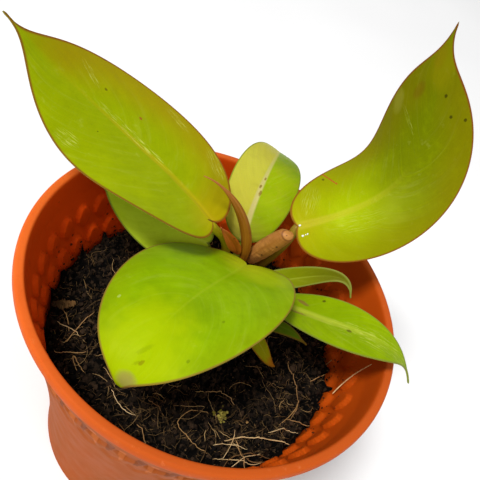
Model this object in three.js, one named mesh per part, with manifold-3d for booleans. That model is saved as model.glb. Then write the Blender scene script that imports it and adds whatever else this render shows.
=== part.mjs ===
// Potted aroid house plant with golden leaves: moulded pot, potting soil and a young rosette.
// Units are millimetres, +Z is up, the origin is the centre of the pot's flat underside.
import * as THREE from 'three';
import { mergeVertices } from 'three/addons/utils/BufferGeometryUtils.js';
import Module from 'manifold-3d';

const wasm = await Module();
wasm.setup();

// Pot
const POT_HEIGHT = 134;
const RIM_RADIUS = 77.5;
const BASE_RADIUS = 51.5;
const SHOULDER_HEIGHT = 122;
const SHOULDER_RADIUS = 74;
const FLARE = 1.6;
const WALL = 2.2;
const FLOOR = 3;
const SKIRT_BOTTOM = 129.4;
const LIP_INNER_RADIUS = 73.3;
const CELLS_AROUND = 39;
const CELL_PITCH = (2 * Math.PI) / CELLS_AROUND;
const CELL_TURN = 0.385 * CELL_PITCH;
const RELIEF_DEPTH = 1.8;
const CELL_HALF_HEIGHT = 7.2;
const CELL_HALF_WIDTH = 5;
const CELL_ROWS = [109.3, 96.3];
const BAND_STEPS = 5;
const PLAIN_LEVELS = [30, 66];
const DRAIN_COUNT = 6;
const DRAIN_RADIUS = 3.5;
const DRAIN_CIRCLE = 36;

// Soil
const SOIL_BOTTOM = FLOOR + 0.3;
const SOIL_GAP = 0.7;
const SOIL_LEVEL = 96;
const SOIL_MOUND = 3;
const SOIL_TILT = 4.5;
const SOIL_SIDE_LEVELS = [75, 55, 30, SOIL_BOTTOM];
const SOIL_AROUND = 40;
const SOIL_RINGS = 10;

// Plant
const BLADE_THICKNESS = 0.8;
const BLADE_ROWS = 16;
const BLADE_COLUMNS = 5;
const NARROW_BLADE = { under: 15, rows: 16, columns: 4 };
const TINY_BLADE = { under: 10, rows: 12, columns: 3 };
const MIN_HALF_WIDTH = 0.35;
const RIB_SHARE = 0.6;
const RIB_END_RADIUS = 0.7;
const ROOT_LEVEL = 93;
const ROOT_CLEARANCE = 0.45;
const CROWN_PATH = [[4, 12, 88], [4, 12, 104], [4.6, 15, 116], [5, 17, 124.2]];
const CROWN_RADII = [6, 4.8];
const CROWN_HOLE_RADIUS = 6.6;
const HALF_OUTLINE = [[0, 0], [-0.10, 0.10], [-0.10, 1.10], [0.35, 1.55], [0.75, 0.70], [0.92, 0.12], [1, 0]];

// Each leaf: midrib and facing direction as Bezier points, half width, the half outline in shares of
// length and half width, swells of the two margins in mm, fold along the midrib, curl of the margins
// at base and tip, petiole from just above the soil to the blade and its two radii.
const LEAVES = {
  leaf_left: {
    midrib: [[-14, 8, 150], [-38, 11, 160], [-60, 17, 159], [-83, 16, 166], [-108, 5, 190]],
    face: [[0.35, -0.03, 0.94], [0.34, -0.12, 0.93], [0.30, -0.26, 0.92]],
    halfWidth: 26.7,
    outline: [[0, 0], [-0.06, 0.16], [-0.10, 1.12], [0.50, 1.62], [0.87, 0.78], [0.80, 0.05], [1, 0]],
    swells: [[0.7, -0.2, -0.1, 0.4, -2.1], [2.8, 2.7, 3.8, 2.8, -0.3]],
    fold: 0.12, curl: [0.14, -0.23],
    petiole: [[-5, 11, 103.6], [-4, 14, 114], [0.5, 29, 127], [-9, 14, 139], [-14, 8, 150]],
    radii: [2.3, 1.7],
    colour: 0xa3b01c,
  },
  leaf_right: {
    midrib: [[16, 27, 153], [49, 51, 171], [54, 66, 184], [38, 70, 202], [28, 67, 238]],
    face: [[-0.48, -0.77, 0.41], [-0.54, -0.69, 0.48], [-0.40, -0.71, 0.58]],
    halfWidth: 23.7,
    outline: [[0, 0], [-0.02, 0.13], [-0.13, 1.12], [0.44, 1.54], [0.95, 0.74], [0.73, 0.13], [1, 0]],
    swells: [[1.2, 0.9, -0.8, -1.9, -1.6], [0.5, 0.2, 0.9, 3.8, 2.7]],
    fold: -0.03, curl: [-0.19, -0.18],
    petiole: [[11.4, 18.6, 103.6], [5.5, 28, 118], [17.3, 20.5, 139], [16, 27, 153]], radii: [2.2, 1.7],
    colour: 0x9aa81e,
  },
  leaf_front: {
    midrib: [[6, 10, 136], [-2, -21, 151], [-18, -50, 153], [-10, -73, 131], [-12, -55, 129]],
    face: [[-0.29, -0.04, 0.96], [-0.31, -0.45, 0.83], [-0.08, -0.95, -0.30]],
    halfWidth: 29.6,
    outline: [[0, 0], [-0.14, 0.13], [-0.12, 1.13], [0.49, 1.58], [1.01, 0.75], [0.74, 0.05], [1, 0]],
    swells: [[0, -0.5, 0.2, 1.7, 0], [1.9, 2.2, 1.6, -0.2, -2.6]],
    fold: 0.13, curl: [-0.07, -0.07],
    petiole: [[4.5, 3.2, 103.6], [5, 4, 116], [5.5, 6, 127], [6, 10, 136]], radii: [2.2, 1.6],
    colour: 0xaec21a,
  },
  leaf_back: {
    midrib: [[0, 23, 133], [-6, 32, 152], [-6, 48, 161], [-6, 69, 155], [-6, 87, 138]],
    face: [[0, -0.80, 0.59], [0.01, -0.51, 0.86], [0.12, 0.30, 0.95]],
    halfWidth: 16.2,
    outline: [[0, 0], [0.03, 0.08], [-0.03, 1.09], [0.37, 1.55], [0.75, 0.70], [0.92, 0.12], [1, 0]],
    swells: [[0.2, 0.6, 0.8, 0.6, 0.3], [-2.1, -1.5, -0.9, -0.5, -0.2]],
    fold: 0.11, curl: [-0.05, -0.05],
    petiole: [[2, 21.5, 103.6], [1.5, 23, 112], [0, 24, 124], [0, 23, 133]], radii: [2.0, 1.5],
    colour: 0xb4c22c,
  },
  leaf_left_low: {
    midrib: [[-13, 16, 130], [-25, 11, 134], [-38, 8, 137], [-50, 8, 138], [-60, 10, 134]],
    face: [[0.10, -0.39, 0.91], [0.10, -0.39, 0.91], [0.10, -0.39, 0.92]],
    halfWidth: 14.7,
    outline: HALF_OUTLINE,
    swells: [[0, 0, 0, 0, 0.1], [0.7, 1.3, 1.8, 1.6, 0.9]],
    fold: 0.08, curl: [-0.07, -0.07],
    petiole: [[-3.8, 17.8, 103.6], [-6.4, 18.8, 112], [-9.4, 19.4, 123], [-13, 16, 130]], radii: [1.7, 1.3],
    colour: 0x8aa81c,
  },
  leaf_right_small: {
    midrib: [[14, 13.4, 126.5], [26, 17, 136], [36, 20, 145], [44, 23, 151], [49, 16, 143]],
    face: [[-0.01, -0.59, 0.81], [-0.01, -0.59, 0.81], [-0.01, -0.59, 0.81]],
    halfWidth: 5.7,
    outline: HALF_OUTLINE,
    swells: [[-0.4, -0.8, -1.4, -1.7, -0.7], [0.3, 0.1, -0.6, -0.9, -0.1]],
    fold: 0.31, curl: [-0.05, -0.05],
    petiole: [[12.6, 14.4, 103.6], [12.8, 14, 112], [13, 13.4, 119], [14, 13.4, 126.5]], radii: [1.3, 1.1],
    colour: 0x9cb43a,
  },
  leaf_right_low: {
    midrib: [[20, 8, 127], [40, -2, 142], [60, -3, 149], [75, 6, 147], [86, 3, 130]],
    face: [[0.27, 0.03, 0.96], [0.27, -0.08, 0.96], [0.24, -0.14, 0.96]],
    halfWidth: 13,
    outline: [[0, 0], [-0.09, 0.09], [-0.06, 1.10], [0.42, 1.57], [0.78, 0.71], [0.78, 0.07], [1, 0]],
    swells: [[-0.7, -0.3, 1.1, 1.0, -2.6], [0, 0.3, 0.2, -0.7, -2.5]],
    fold: 0.16, curl: [0.06, -0.06],
    petiole: [[12.5, 10.6, 103.6], [13.5, 9.5, 114], [16, 8.2, 122], [20, 8, 127]], radii: [1.6, 1.3],
    colour: 0xa2bc22,
  },
  leaf_small_green: {
    midrib: [[21, 7, 114], [27, 6, 117], [33, 6, 120], [40, 6, 119], [45, 6, 116]],
    face: [[0.10, -0.40, 0.91], [0.10, -0.40, 0.91], [0.10, -0.40, 0.91]],
    halfWidth: 4.1,
    outline: HALF_OUTLINE,
    swells: [[-0.2, -0.4, -0.6, -0.5, -0.1], [-0.7, -1.1, -1.1, -0.9, -1.4]],
    fold: 0.12, curl: [-0.05, -0.05],
    petiole: [[11, 6, 103.6], [13, 5.5, 107], [17, 6, 111], [21, 7, 114]], radii: [1.2, 1.0],
    colour: 0x8fae1e,
  },
  leaf_small_yellow: {
    midrib: [[19, 2, 111], [24, 0, 112], [29, -3, 111], [33, -5, 108], [38, -3, 104]],
    face: [[0.11, -0.39, 0.91], [0.11, -0.39, 0.92], [0.11, -0.39, 0.92]],
    halfWidth: 4.1,
    outline: HALF_OUTLINE,
    swells: [[0, -0.1, -0.3, 0.1, 1.0], [0.1, -0.1, -0.6, -0.8, -0.3]],
    fold: 0.12, curl: [-0.05, -0.05],
    petiole: [[9, 2.6, 103.6], [11, 1, 107], [15, 1, 110], [19, 2, 111]], radii: [1.1, 0.9],
    colour: 0xc0a832,
  },
};

// Small numeric helpers.
const mix = (a, b, t) => a + (b - a) * t;
const clamp01 = (t) => Math.min(1, Math.max(0, t));

/** Point of a Bezier curve of any degree; points are arrays of equal length. */
function bezier(points, t) {
  let row = points;
  while (row.length > 1) {
    row = row.slice(1).map((p, i) => p.map((c, k) => mix(row[i][k], c, t)));
  }
  return row[0];
}

/** Direction of travel along a Bezier curve in space. */
function bezierTangent(points, t) {
  const steps = points.slice(1).map((p, i) => p.map((c, k) => c - points[i][k]));
  return new THREE.Vector3(...bezier(steps, t)).normalize();
}

/** Bezier curve walked by arc length, with the run continued straight before its start. */
class Spine {
  constructor(points, samples = 200) {
    this.lengths = [0];
    let last = new THREE.Vector3(...points[0]);
    for (let i = 1; i <= samples; i += 1) {
      const p = new THREE.Vector3(...bezier(points, i / samples));
      this.lengths.push(this.lengths[i - 1] + p.distanceTo(last));
      last = p;
    }
    this.length = this.lengths[samples];
  }

  parameter(s) {
    const last = this.lengths.length - 1;
    let i = 1;
    while (i < last && this.lengths[i] < s) {
      i += 1;
    }
    const share = (s - this.lengths[i - 1]) / (this.lengths[i] - this.lengths[i - 1]);
    return clamp01((i - 1 + share) / last);
  }
}

/** Closed body from triangle corners; repeated corners are welded and empty triangles dropped. */
function solid(positions, faces) {
  const raw = new THREE.BufferGeometry();
  raw.setAttribute('position', new THREE.Float32BufferAttribute(positions, 3));
  raw.setIndex(faces);
  const welded = mergeVertices(raw, 1e-4);
  const source = welded.getIndex().array;
  const kept = [];
  for (let i = 0; i < source.length; i += 3) {
    const [a, b, c] = [source[i], source[i + 1], source[i + 2]];
    if (a !== b && b !== c && c !== a) {
      kept.push(a, b, c);
    }
  }
  welded.setIndex(kept);
  return welded;
}

function toManifold(geometry) {
  const bare = geometry.clone();
  bare.deleteAttribute('normal');
  bare.deleteAttribute('uv');
  const welded = mergeVertices(bare, 1e-4);
  const mesh = new wasm.Mesh({
    numProp: 3,
    vertProperties: new Float32Array(welded.getAttribute('position').array),
    triVerts: new Uint32Array(welded.getIndex().array),
  });
  return new wasm.Manifold(mesh);
}

function fromManifold(manifold) {
  const mesh = manifold.getMesh();
  const geometry = new THREE.BufferGeometry();
  geometry.setAttribute('position', new THREE.BufferAttribute(new Float32Array(mesh.vertProperties), 3));
  geometry.setIndex(new THREE.BufferAttribute(new Uint32Array(mesh.triVerts), 1));
  return geometry;
}

/** Outer radius of the pot body at height z, without relief. */
function bodyRadius(z) {
  const share = Math.max(0, z) / SHOULDER_HEIGHT;
  return BASE_RADIUS + (SHOULDER_RADIUS - BASE_RADIUS) * share ** FLARE;
}

/** Depth of the two staggered rows of dents, round at the top and pointed below, at an angle and a height. */
function relief(angle, z) {
  let dent = 0;
  CELL_ROWS.forEach((centre, row) => {
    const turn = (angle - CELL_TURN) / CELL_PITCH + row * 0.5;
    const across = ((turn - Math.round(turn)) * CELL_PITCH * SHOULDER_RADIUS) / CELL_HALF_WIDTH;
    const up = (z - centre) / CELL_HALF_HEIGHT;
    const taper = up < 0 ? 1 + up : Math.sqrt(Math.max(0, 1 - up * up));
    const inside = taper * taper - across * across;
    if (taper > 0 && inside > 0) {
      dent = Math.max(dent, RELIEF_DEPTH * Math.sqrt(inside));
    }
  });
  return dent;
}

/** Profile of the pot as [radius, height, takes relief], from the underside to the inner floor. */
function potProfile() {
  const profile = [[BASE_RADIUS - 2, 0, 0], [BASE_RADIUS - 0.4, 1.2, 0]];
  const bandTop = CELL_ROWS[0] + CELL_HALF_HEIGHT + 1;
  const bandBottom = CELL_ROWS[1] - CELL_HALF_HEIGHT - 1;
  const outside = [];
  for (let k = 0; k <= BAND_STEPS; k += 1) {
    outside.push(mix(bandBottom, bandTop, k / BAND_STEPS));
  }
  PLAIN_LEVELS.forEach((z) => profile.push([bodyRadius(z), z, 0]));
  outside.forEach((z) => profile.push([bodyRadius(z), z, 1]));
  profile.push([bodyRadius(122), 122, 0], [bodyRadius(127.5), 127.5, 0]);
  profile.push([RIM_RADIUS - 0.9, SKIRT_BOTTOM, 0], [RIM_RADIUS, SKIRT_BOTTOM + 1.2, 0]);
  profile.push([RIM_RADIUS, POT_HEIGHT - 1.8, 0], [RIM_RADIUS - 0.8, POT_HEIGHT - 0.5, 0]);
  profile.push([RIM_RADIUS - 2.1, POT_HEIGHT, 0], [LIP_INNER_RADIUS + 0.7, POT_HEIGHT - 0.5, 0]);
  profile.push([LIP_INNER_RADIUS, POT_HEIGHT - 1.9, 0], [bodyRadius(122) - WALL, 122, 0]);
  outside.reverse().forEach((z) => profile.push([bodyRadius(z) - WALL, z, 1]));
  PLAIN_LEVELS.slice().reverse().forEach((z) => profile.push([bodyRadius(z) - WALL, z, 0]));
  profile.push([bodyRadius(FLOOR) - WALL, FLOOR, 0]);
  return profile;
}

/** Triangles between two rings of points; the counts are equal or one is twice the other. */
function stitch(faces, first, firstCount, second, secondCount) {
  const steps = Math.max(firstCount, secondCount);
  const point = (start, count, i) => start + (Math.round((i * count) / steps) % count);
  for (let i = 0; i < steps; i += 1) {
    const [a, b] = [point(first, firstCount, i), point(first, firstCount, i + 1)];
    const [c, d] = [point(second, secondCount, i), point(second, secondCount, i + 1)];
    const corners = i % 2 ? [[a, b, d], [a, d, c]] : [[a, b, c], [b, d, c]];
    corners.filter(([u, v, w]) => u !== v && v !== w && w !== u).forEach((face) => faces.push(...face));
  }
}

function potGeometry() {
  const profile = potProfile();
  const positions = [];
  const rings = profile.map(([radius, z, takes]) => {
    const count = CELLS_AROUND * (takes ? 4 : 2);
    const start = positions.length / 3;
    for (let i = 0; i < count; i += 1) {
      const angle = CELL_TURN + (i * 2 * Math.PI) / count;
      const r = radius - (takes ? relief(angle, z) : 0);
      positions.push(r * Math.cos(angle), r * Math.sin(angle), z);
    }
    return { start, count };
  });
  const faces = [];
  rings.slice(1).forEach((ring, j) => stitch(faces, rings[j].start, rings[j].count, ring.start, ring.count));
  const under = positions.length / 3;
  positions.push(0, 0, 0, 0, 0, FLOOR);
  const last = rings[rings.length - 1];
  for (let i = 0; i < last.count; i += 1) {
    const next = (i + 1) % last.count;
    faces.push(under, next, i, under + 1, last.start + i, last.start + next);
  }
  let pot = toManifold(solid(positions, faces));
  for (let i = 0; i < DRAIN_COUNT; i += 1) {
    const angle = ((i + 0.5) * 2 * Math.PI) / DRAIN_COUNT;
    const hole = new THREE.CylinderGeometry(DRAIN_RADIUS, DRAIN_RADIUS, FLOOR * 4, 20);
    hole.rotateX(Math.PI / 2);
    hole.translate(DRAIN_CIRCLE * Math.cos(angle), DRAIN_CIRCLE * Math.sin(angle), 0);
    pot = pot.subtract(toManifold(hole));
  }
  return fromManifold(pot);
}

/** Height of the crumbly soil surface. */
function soilHeight(x, y) {
  const r = Math.hypot(x, y) / 66;
  const clods = Math.sin(0.31 * x + 1.1 * Math.sin(0.23 * y)) * Math.cos(0.27 * y - 0.9 * Math.sin(0.19 * x));
  const grains = Math.sin(0.83 * x + 0.4 * y + 2) * Math.sin(0.71 * y - 0.5 * x + 1);
  return SOIL_LEVEL + SOIL_MOUND * (1 - r * r) + (SOIL_TILT * x) / 66 + 1.3 * clods + 0.7 * grains;
}

/** Upright round cutter for a hole that is open at the top of the soil. */
function plainHole(x, y, floor, radius, sides) {
  const depth = POT_HEIGHT - floor;
  const hole = new THREE.CylinderGeometry(radius, radius, depth, sides);
  hole.rotateX(Math.PI / 2);
  hole.translate(x, y, floor + depth / 2);
  return toManifold(hole);
}

/** Filling of the pot, with a crumbly top and a plain hole for the crown and for each petiole. */
function soilGeometry() {
  const around = SOIL_AROUND;
  const rings = SOIL_RINGS;
  const positions = [0, 0, soilHeight(0, 0)];
  const wallRadius = (z) => bodyRadius(z) - WALL - SOIL_GAP;
  for (let j = 1; j <= rings; j += 1) {
    for (let i = 0; i < around; i += 1) {
      const angle = (i * 2 * Math.PI) / around;
      const edge = wallRadius(soilHeight(62 * Math.cos(angle), 62 * Math.sin(angle)) - 2.5) - RELIEF_DEPTH;
      const r = (edge * j) / rings;
      const [x, y] = [r * Math.cos(angle), r * Math.sin(angle)];
      positions.push(x, y, soilHeight(x, y));
    }
  }
  SOIL_SIDE_LEVELS.forEach((z) => {
    for (let i = 0; i < around; i += 1) {
      const angle = (i * 2 * Math.PI) / around;
      positions.push(wallRadius(z) * Math.cos(angle), wallRadius(z) * Math.sin(angle), z);
    }
  });
  const bottom = positions.length / 3;
  positions.push(0, 0, SOIL_BOTTOM);
  const bands = rings + SOIL_SIDE_LEVELS.length;
  const faces = [];
  for (let i = 0; i < around; i += 1) {
    const next = (i + 1) % around;
    faces.push(0, 1 + i, 1 + next);
    for (let j = 0; j + 1 < bands; j += 1) {
      const [a, b] = [1 + j * around + i, 1 + j * around + next];
      faces.push(a, a + around, b + around, a, b + around, b);
    }
    const last = 1 + (bands - 1) * around;
    faces.push(bottom, last + next, last + i);
  }
  const [crownX, crownY, crownFoot] = CROWN_PATH[0];
  const crownFloor = crownFoot - CROWN_RADII[0] / 2 - SOIL_GAP;
  let soil = toManifold(solid(positions, faces));
  soil = soil.subtract(plainHole(crownX, crownY, crownFloor, CROWN_HOLE_RADIUS, 32));
  Object.values(LEAVES).forEach(({ petiole, radii }) => {
    const floor = ROOT_LEVEL - radii[0] / 2 - SOIL_GAP;
    soil = soil.subtract(plainHole(petiole[0][0], petiole[0][1], floor, radii[0] + ROOT_CLEARANCE, 14));
  });
  return fromManifold(soil);
}

/** Round bar along a list of stations {at, radius}, closed by a blunt point at both ends. */
function barGeometry(stations, sides = 10, flatten = 1) {
  const positions = [];
  const count = stations.length;
  let side = null;
  stations.forEach(({ at, radius }, k) => {
    const before = stations[Math.max(0, k - 1)].at;
    const after = stations[Math.min(count - 1, k + 1)].at;
    const along = after.clone().sub(before).normalize();
    if (side === null) {
      side = new THREE.Vector3(Math.abs(along.x) < 0.8 ? 1 : 0, Math.abs(along.x) < 0.8 ? 0 : 1, 0);
    }
    side = side.clone().addScaledVector(along, -side.dot(along)).normalize();
    const up = new THREE.Vector3().crossVectors(along, side);
    for (let i = 0; i < sides; i += 1) {
      const angle = (i * 2 * Math.PI) / sides;
      const p = at.clone();
      p.addScaledVector(side, radius * Math.cos(angle));
      p.addScaledVector(up, radius * flatten * Math.sin(angle));
      positions.push(p.x, p.y, p.z);
    }
  });
  const ends = [[0, 1], [count - 1, count - 2]].map(([k, inner]) => {
    const out = stations[k].at.clone().sub(stations[inner].at).normalize();
    return stations[k].at.clone().addScaledVector(out, stations[k].radius * 0.5);
  });
  ends.forEach((p) => positions.push(p.x, p.y, p.z));
  const faces = [];
  for (let i = 0; i < sides; i += 1) {
    const next = (i + 1) % sides;
    for (let k = 0; k + 1 < count; k += 1) {
      const [a, b] = [k * sides + i, k * sides + next];
      faces.push(a, b, b + sides, a, b + sides, a + sides);
    }
    faces.push(count * sides, next, i);
    faces.push(count * sides + 1, (count - 1) * sides + i, (count - 1) * sides + next);
  }
  return solid(positions, faces);
}

/** Bar along a Bezier path whose radius is a function of the share of the way. */
function pathBar(points, radiusAt, steps, sides, flatten) {
  const stations = [];
  for (let k = 0; k <= steps; k += 1) {
    const t = k / steps;
    stations.push({ at: new THREE.Vector3(...bezier(points, t)), radius: radiusAt(t) });
  }
  return barGeometry(stations, sides, flatten);
}

/** Leaf blade: flat leaf coordinates (s along the midrib, q sideways) laid on the bent midrib. */
class Blade {
  constructor(leaf) {
    this.leaf = leaf;
    this.spine = new Spine(leaf.midrib);
    this.length = this.spine.length;
  }

  frame(s) {
    const { leaf, spine } = this;
    const t = spine.parameter(Math.max(0, Math.min(this.length, s)));
    const along = bezierTangent(leaf.midrib, t);
    const at = new THREE.Vector3(...bezier(leaf.midrib, t));
    at.addScaledVector(along, s - Math.max(0, Math.min(this.length, s)));
    const face = new THREE.Vector3(...bezier(leaf.face, t));
    const side = new THREE.Vector3().crossVectors(along, face).normalize();
    const normal = new THREE.Vector3().crossVectors(side, along);
    return { t, at, along, side, normal };
  }

  /** Point of the blade and its unit normal at flat coordinates. */
  at(s, q) {
    const { leaf } = this;
    const { t, at, side, normal } = this.frame(s);
    const curl = mix(leaf.curl[0], leaf.curl[1], t);
    const width = leaf.halfWidth;
    const ridge = Math.sqrt(q * q + 1);
    const lift = (ridge - 1) * Math.sin(leaf.fold) + (curl * q * q) / width;
    const slope = ((q / ridge) * Math.sin(leaf.fold) + (2 * curl * q) / width) / Math.cos(leaf.fold);
    const point = at.clone();
    point.addScaledVector(side, q * Math.cos(leaf.fold)).addScaledVector(normal, lift);
    const out = normal.clone().addScaledVector(side, -slope).normalize();
    return { point, out };
  }

  /** Margin on one side (1 or -1) at share a of the way from the notch round to the tip. */
  margin(hand, a) {
    const { leaf } = this;
    const [along, across] = bezier(leaf.outline, a);
    const swells = leaf.swells[hand > 0 ? 0 : 1];
    const swell = bezier([0, ...swells, 0].map((v) => [v]), a)[0];
    return [along * this.length, across * leaf.halfWidth + swell];
  }

  /** Thin closed body with the same triangles on both faces. */
  geometry(rows, columns, thickness) {
    const across = 2 * columns + 1;
    const faces = [];
    const top = [];
    const bottom = [];
    for (let i = 0; i <= rows; i += 1) {
      const a = i / rows;
      for (let j = 0; j < across; j += 1) {
        const b = (j - columns) / columns;
        const [s1, q1] = this.margin(b < 0 ? -1 : 1, a);
        const share = Math.abs(b);
        const s = mix(a ** 1.25 * this.length, s1, share);
        const reach = i === 0 || i === rows ? 0 : Math.max(MIN_HALF_WIDTH, q1);
        const { point, out } = this.at(s, b * reach);
        top.push(...point.clone().addScaledVector(out, thickness / 2).toArray());
        bottom.push(...point.clone().addScaledVector(out, -thickness / 2).toArray());
      }
    }
    const half = top.length / 3;
    const wall = (a, b) => faces.push(a, b, a + half, b, b + half, a + half);
    for (let i = 0; i < rows; i += 1) {
      for (let j = 0; j + 1 < across; j += 1) {
        const a = i * across + j;
        const d = a + across;
        const corners = j < columns ? [[a, a + 1, d], [a + 1, d + 1, d]] : [[a, a + 1, d + 1], [a, d + 1, d]];
        corners.forEach(([u, v, w]) => faces.push(u, v, w, w + half, v + half, u + half));
      }
      wall(i * across, (i + 1) * across);
      wall((i + 2) * across - 1, (i + 1) * across - 1);
    }
    for (let j = 0; j + 1 < across; j += 1) {
      wall(j + 1, j);
      wall(rows * across + j, rows * across + j + 1);
    }
    return solid([...top, ...bottom], faces);
  }

  /** Petiole that stands in the soil and runs on as the rib under the blade. */
  stalk(sides) {
    const { leaf } = this;
    const [rootX, rootY] = leaf.petiole[0];
    const stations = [{ at: new THREE.Vector3(rootX, rootY, ROOT_LEVEL), radius: leaf.radii[0] }];
    const run = 6;
    for (let k = 0; k < run; k += 1) {
      const t = k / run;
      const at = new THREE.Vector3(...bezier(leaf.petiole, t));
      stations.push({ at, radius: mix(leaf.radii[0], leaf.radii[1], t) });
    }
    const ribs = 6;
    for (let k = 0; k <= ribs; k += 1) {
      const t = k / ribs;
      const { at, normal } = this.frame(RIB_SHARE * t * this.length);
      const radius = mix(leaf.radii[1], RIB_END_RADIUS, t ** 0.6);
      at.addScaledVector(normal, -radius);
      stations.push({ at, radius });
    }
    return barGeometry(stations, sides);
  }
}

function leafGeometry(leaf) {
  const blade = new Blade(leaf);
  const sizes = [TINY_BLADE, NARROW_BLADE, { rows: BLADE_ROWS, columns: BLADE_COLUMNS }];
  const { rows, columns } = sizes.find(({ under }) => under === undefined || leaf.halfWidth < under);
  const body = toManifold(blade.geometry(rows, columns, BLADE_THICKNESS));
  const sides = leaf.halfWidth < TINY_BLADE.under ? 6 : 8;
  return fromManifold(body.add(toManifold(blade.stalk(sides))));
}

/** Rolled new leaf: a slender horn that thins to a bent point. */
function newLeafGeometry() {
  const base = [[3.2, 18.6, 128.6], [3.5, 17.8, 134.2], [1.9, 17.4, 146.2]];
  const bend = [[-8, 16, 160], [-17, 12, 166], [-24.5, 9, 167]];
  const radiusAt = (t) => 1.5 + 0.9 * Math.sin(Math.PI * Math.min(1, t * 1.25)) - 1.25 * t ** 2;
  return pathBar([...base, ...bend], radiusAt, 16, 10, 0.85);
}

/** Dry sheath rolled round the stalk beside it, with a rounded open end. */
function brownSheathGeometry() {
  const path = [[6.4, 23.4, 127.3], [7.2, 20.8, 134.5], [10.4, 19, 145.5], [14.4, 20.2, 153.8]];
  const radiusAt = (t) => 2.2 + 1.7 * Math.sin(Math.PI * (0.1 + 0.72 * t));
  return pathBar(path, radiusAt, 10, 12, 0.82);
}

/** Short pointed bract beside the new leaf. */
function redSheathGeometry() {
  const bract = {
    midrib: [[0.2, 16.9, 132.1], [-1.3, 15.5, 137.6], [-5.1, 11.9, 143.2], [-10.4, 8, 149.4]],
    face: [[-0.2, -0.75, 0.6], [-0.2, -0.75, 0.6], [-0.2, -0.7, 0.65]],
    halfWidth: 3.3,
    outline: [[0, 0], [0, 0.4], [0.08, 0.95], [0.38, 1.4], [0.7, 0.75], [0.9, 0.2], [1, 0]],
    swells: [[0, 0], [0, 0]],
    fold: 0.5,
    curl: [0, 0],
  };
  return new Blade(bract).geometry(10, 3, BLADE_THICKNESS);
}

function crownGeometry() {
  return pathBar(CROWN_PATH, (t) => mix(...CROWN_RADII, t), 8, 16, 1);
}

/** Dry strip of bark lying on the soil by the wall. */
function barkGeometry() {
  const path = [[-55.6, -24.2, 94.6], [-53.5, -23, 95.6], [-51.4, -21.2, 94.2], [-48.6, -18.8, 95.5]];
  return pathBar(path, (t) => 1.1 + 1.1 * Math.sin(Math.PI * t), 8, 8, 0.5);
}

function material(colour, roughness) {
  return new THREE.MeshStandardMaterial({ color: colour, roughness, metalness: 0 });
}

function named(name, geometry, surface) {
  const flat = geometry.index ? geometry.toNonIndexed() : geometry;
  flat.computeVertexNormals();
  const mesh = new THREE.Mesh(flat, surface);
  mesh.name = name;
  return mesh;
}

const group = new THREE.Group();
group.name = 'potted_philodendron';
group.add(named('pot', potGeometry(), material(0xe87228, 0.5)));
group.add(named('soil', soilGeometry(), material(0x1c1612, 0.95)));
group.add(named('crown', crownGeometry(), material(0x8a7a24, 0.6)));
Object.entries(LEAVES).forEach(([name, leaf]) => {
  group.add(named(name, leafGeometry(leaf), material(leaf.colour, 0.38)));
});
group.add(named('new_leaf', newLeafGeometry(), material(0x82481c, 0.45)));
group.add(named('sheath_brown', brownSheathGeometry(), material(0xa06a3a, 0.6)));
group.add(named('sheath_red', redSheathGeometry(), material(0x8c3c1a, 0.55)));
group.add(named('bark_chip', barkGeometry(), material(0x7a5a3c, 0.9)));

export default group;
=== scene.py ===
"""Looks of a potted young aroid: golden leaves, a rolled new leaf, dry sheaths, crumbly soil, an orange pot.

Shapes are worked out in millimetres in the pot's own frame, with +Z up and the origin in the middle of the
pot's flat underside, and become metres when a mesh is written. The plant and the pot repeat the forms of the
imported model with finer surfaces; crumbs, fibres, straws and drops are added to them.
"""

import logging
import math
from dataclasses import dataclass, field
from enum import Enum
from itertools import product
from typing import Callable, Mapping, Optional, Sequence, Union

import bpy
import numpy as np
from mathutils import Matrix, Vector


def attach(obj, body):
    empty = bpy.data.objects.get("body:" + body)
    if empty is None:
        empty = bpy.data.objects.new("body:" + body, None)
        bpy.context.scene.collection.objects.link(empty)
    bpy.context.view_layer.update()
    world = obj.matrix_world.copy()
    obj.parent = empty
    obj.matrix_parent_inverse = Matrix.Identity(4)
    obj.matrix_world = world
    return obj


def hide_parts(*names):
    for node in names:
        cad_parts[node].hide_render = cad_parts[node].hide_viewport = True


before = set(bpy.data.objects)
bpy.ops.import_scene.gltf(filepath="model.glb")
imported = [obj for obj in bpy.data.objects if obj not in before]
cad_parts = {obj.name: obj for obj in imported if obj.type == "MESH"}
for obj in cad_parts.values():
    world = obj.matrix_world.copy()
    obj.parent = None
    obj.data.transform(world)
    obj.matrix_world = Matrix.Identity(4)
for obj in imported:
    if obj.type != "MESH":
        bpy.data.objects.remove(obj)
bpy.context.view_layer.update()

LOG = logging.getLogger("potted_aroid")
MM = 0.001
BODY = "root"
FULL_TURN = 2.0 * math.pi
UP = np.array([0.0, 0.0, 1.0])

Array = np.ndarray
Points = Sequence[Sequence[float]]
Colour = tuple[float, ...]


class Slot(Enum):
    """Material slots of the record."""

    POT = "pot_plastic"
    SOIL = "potting_soil"
    STEM = "stem"
    GOLD = "leaf_gold"
    GREEN = "leaf_green"
    YELLOW = "leaf_yellow"
    NEW_LEAF = "new_leaf"
    DRY = "dry_sheath"
    BARK = "bark"


def mix(a: Array, b: Array, t: Array) -> Array:
    """Straight mix: a where t is 0 and b where t is 1."""
    return a + (b - a) * t


def smooth(x: Array, low: float, high: float) -> Array:
    """Smooth step of x, 0 at low and 1 at high: three t squared less two t cubed."""
    t = np.clip((np.asarray(x, float) - low) / (high - low), 0.0, 1.0)
    return t * t * (3.0 - 2.0 * t)


def hump(x: Array, width: float) -> Array:
    """Bell curve: e to the minus (x / width) squared."""
    return np.exp(-((x / width) ** 2))


def unit(vectors: Array) -> Array:
    """The vectors of the last axis at length one."""
    return vectors / np.maximum(np.linalg.norm(vectors, axis=-1, keepdims=True), 1e-12)


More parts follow.
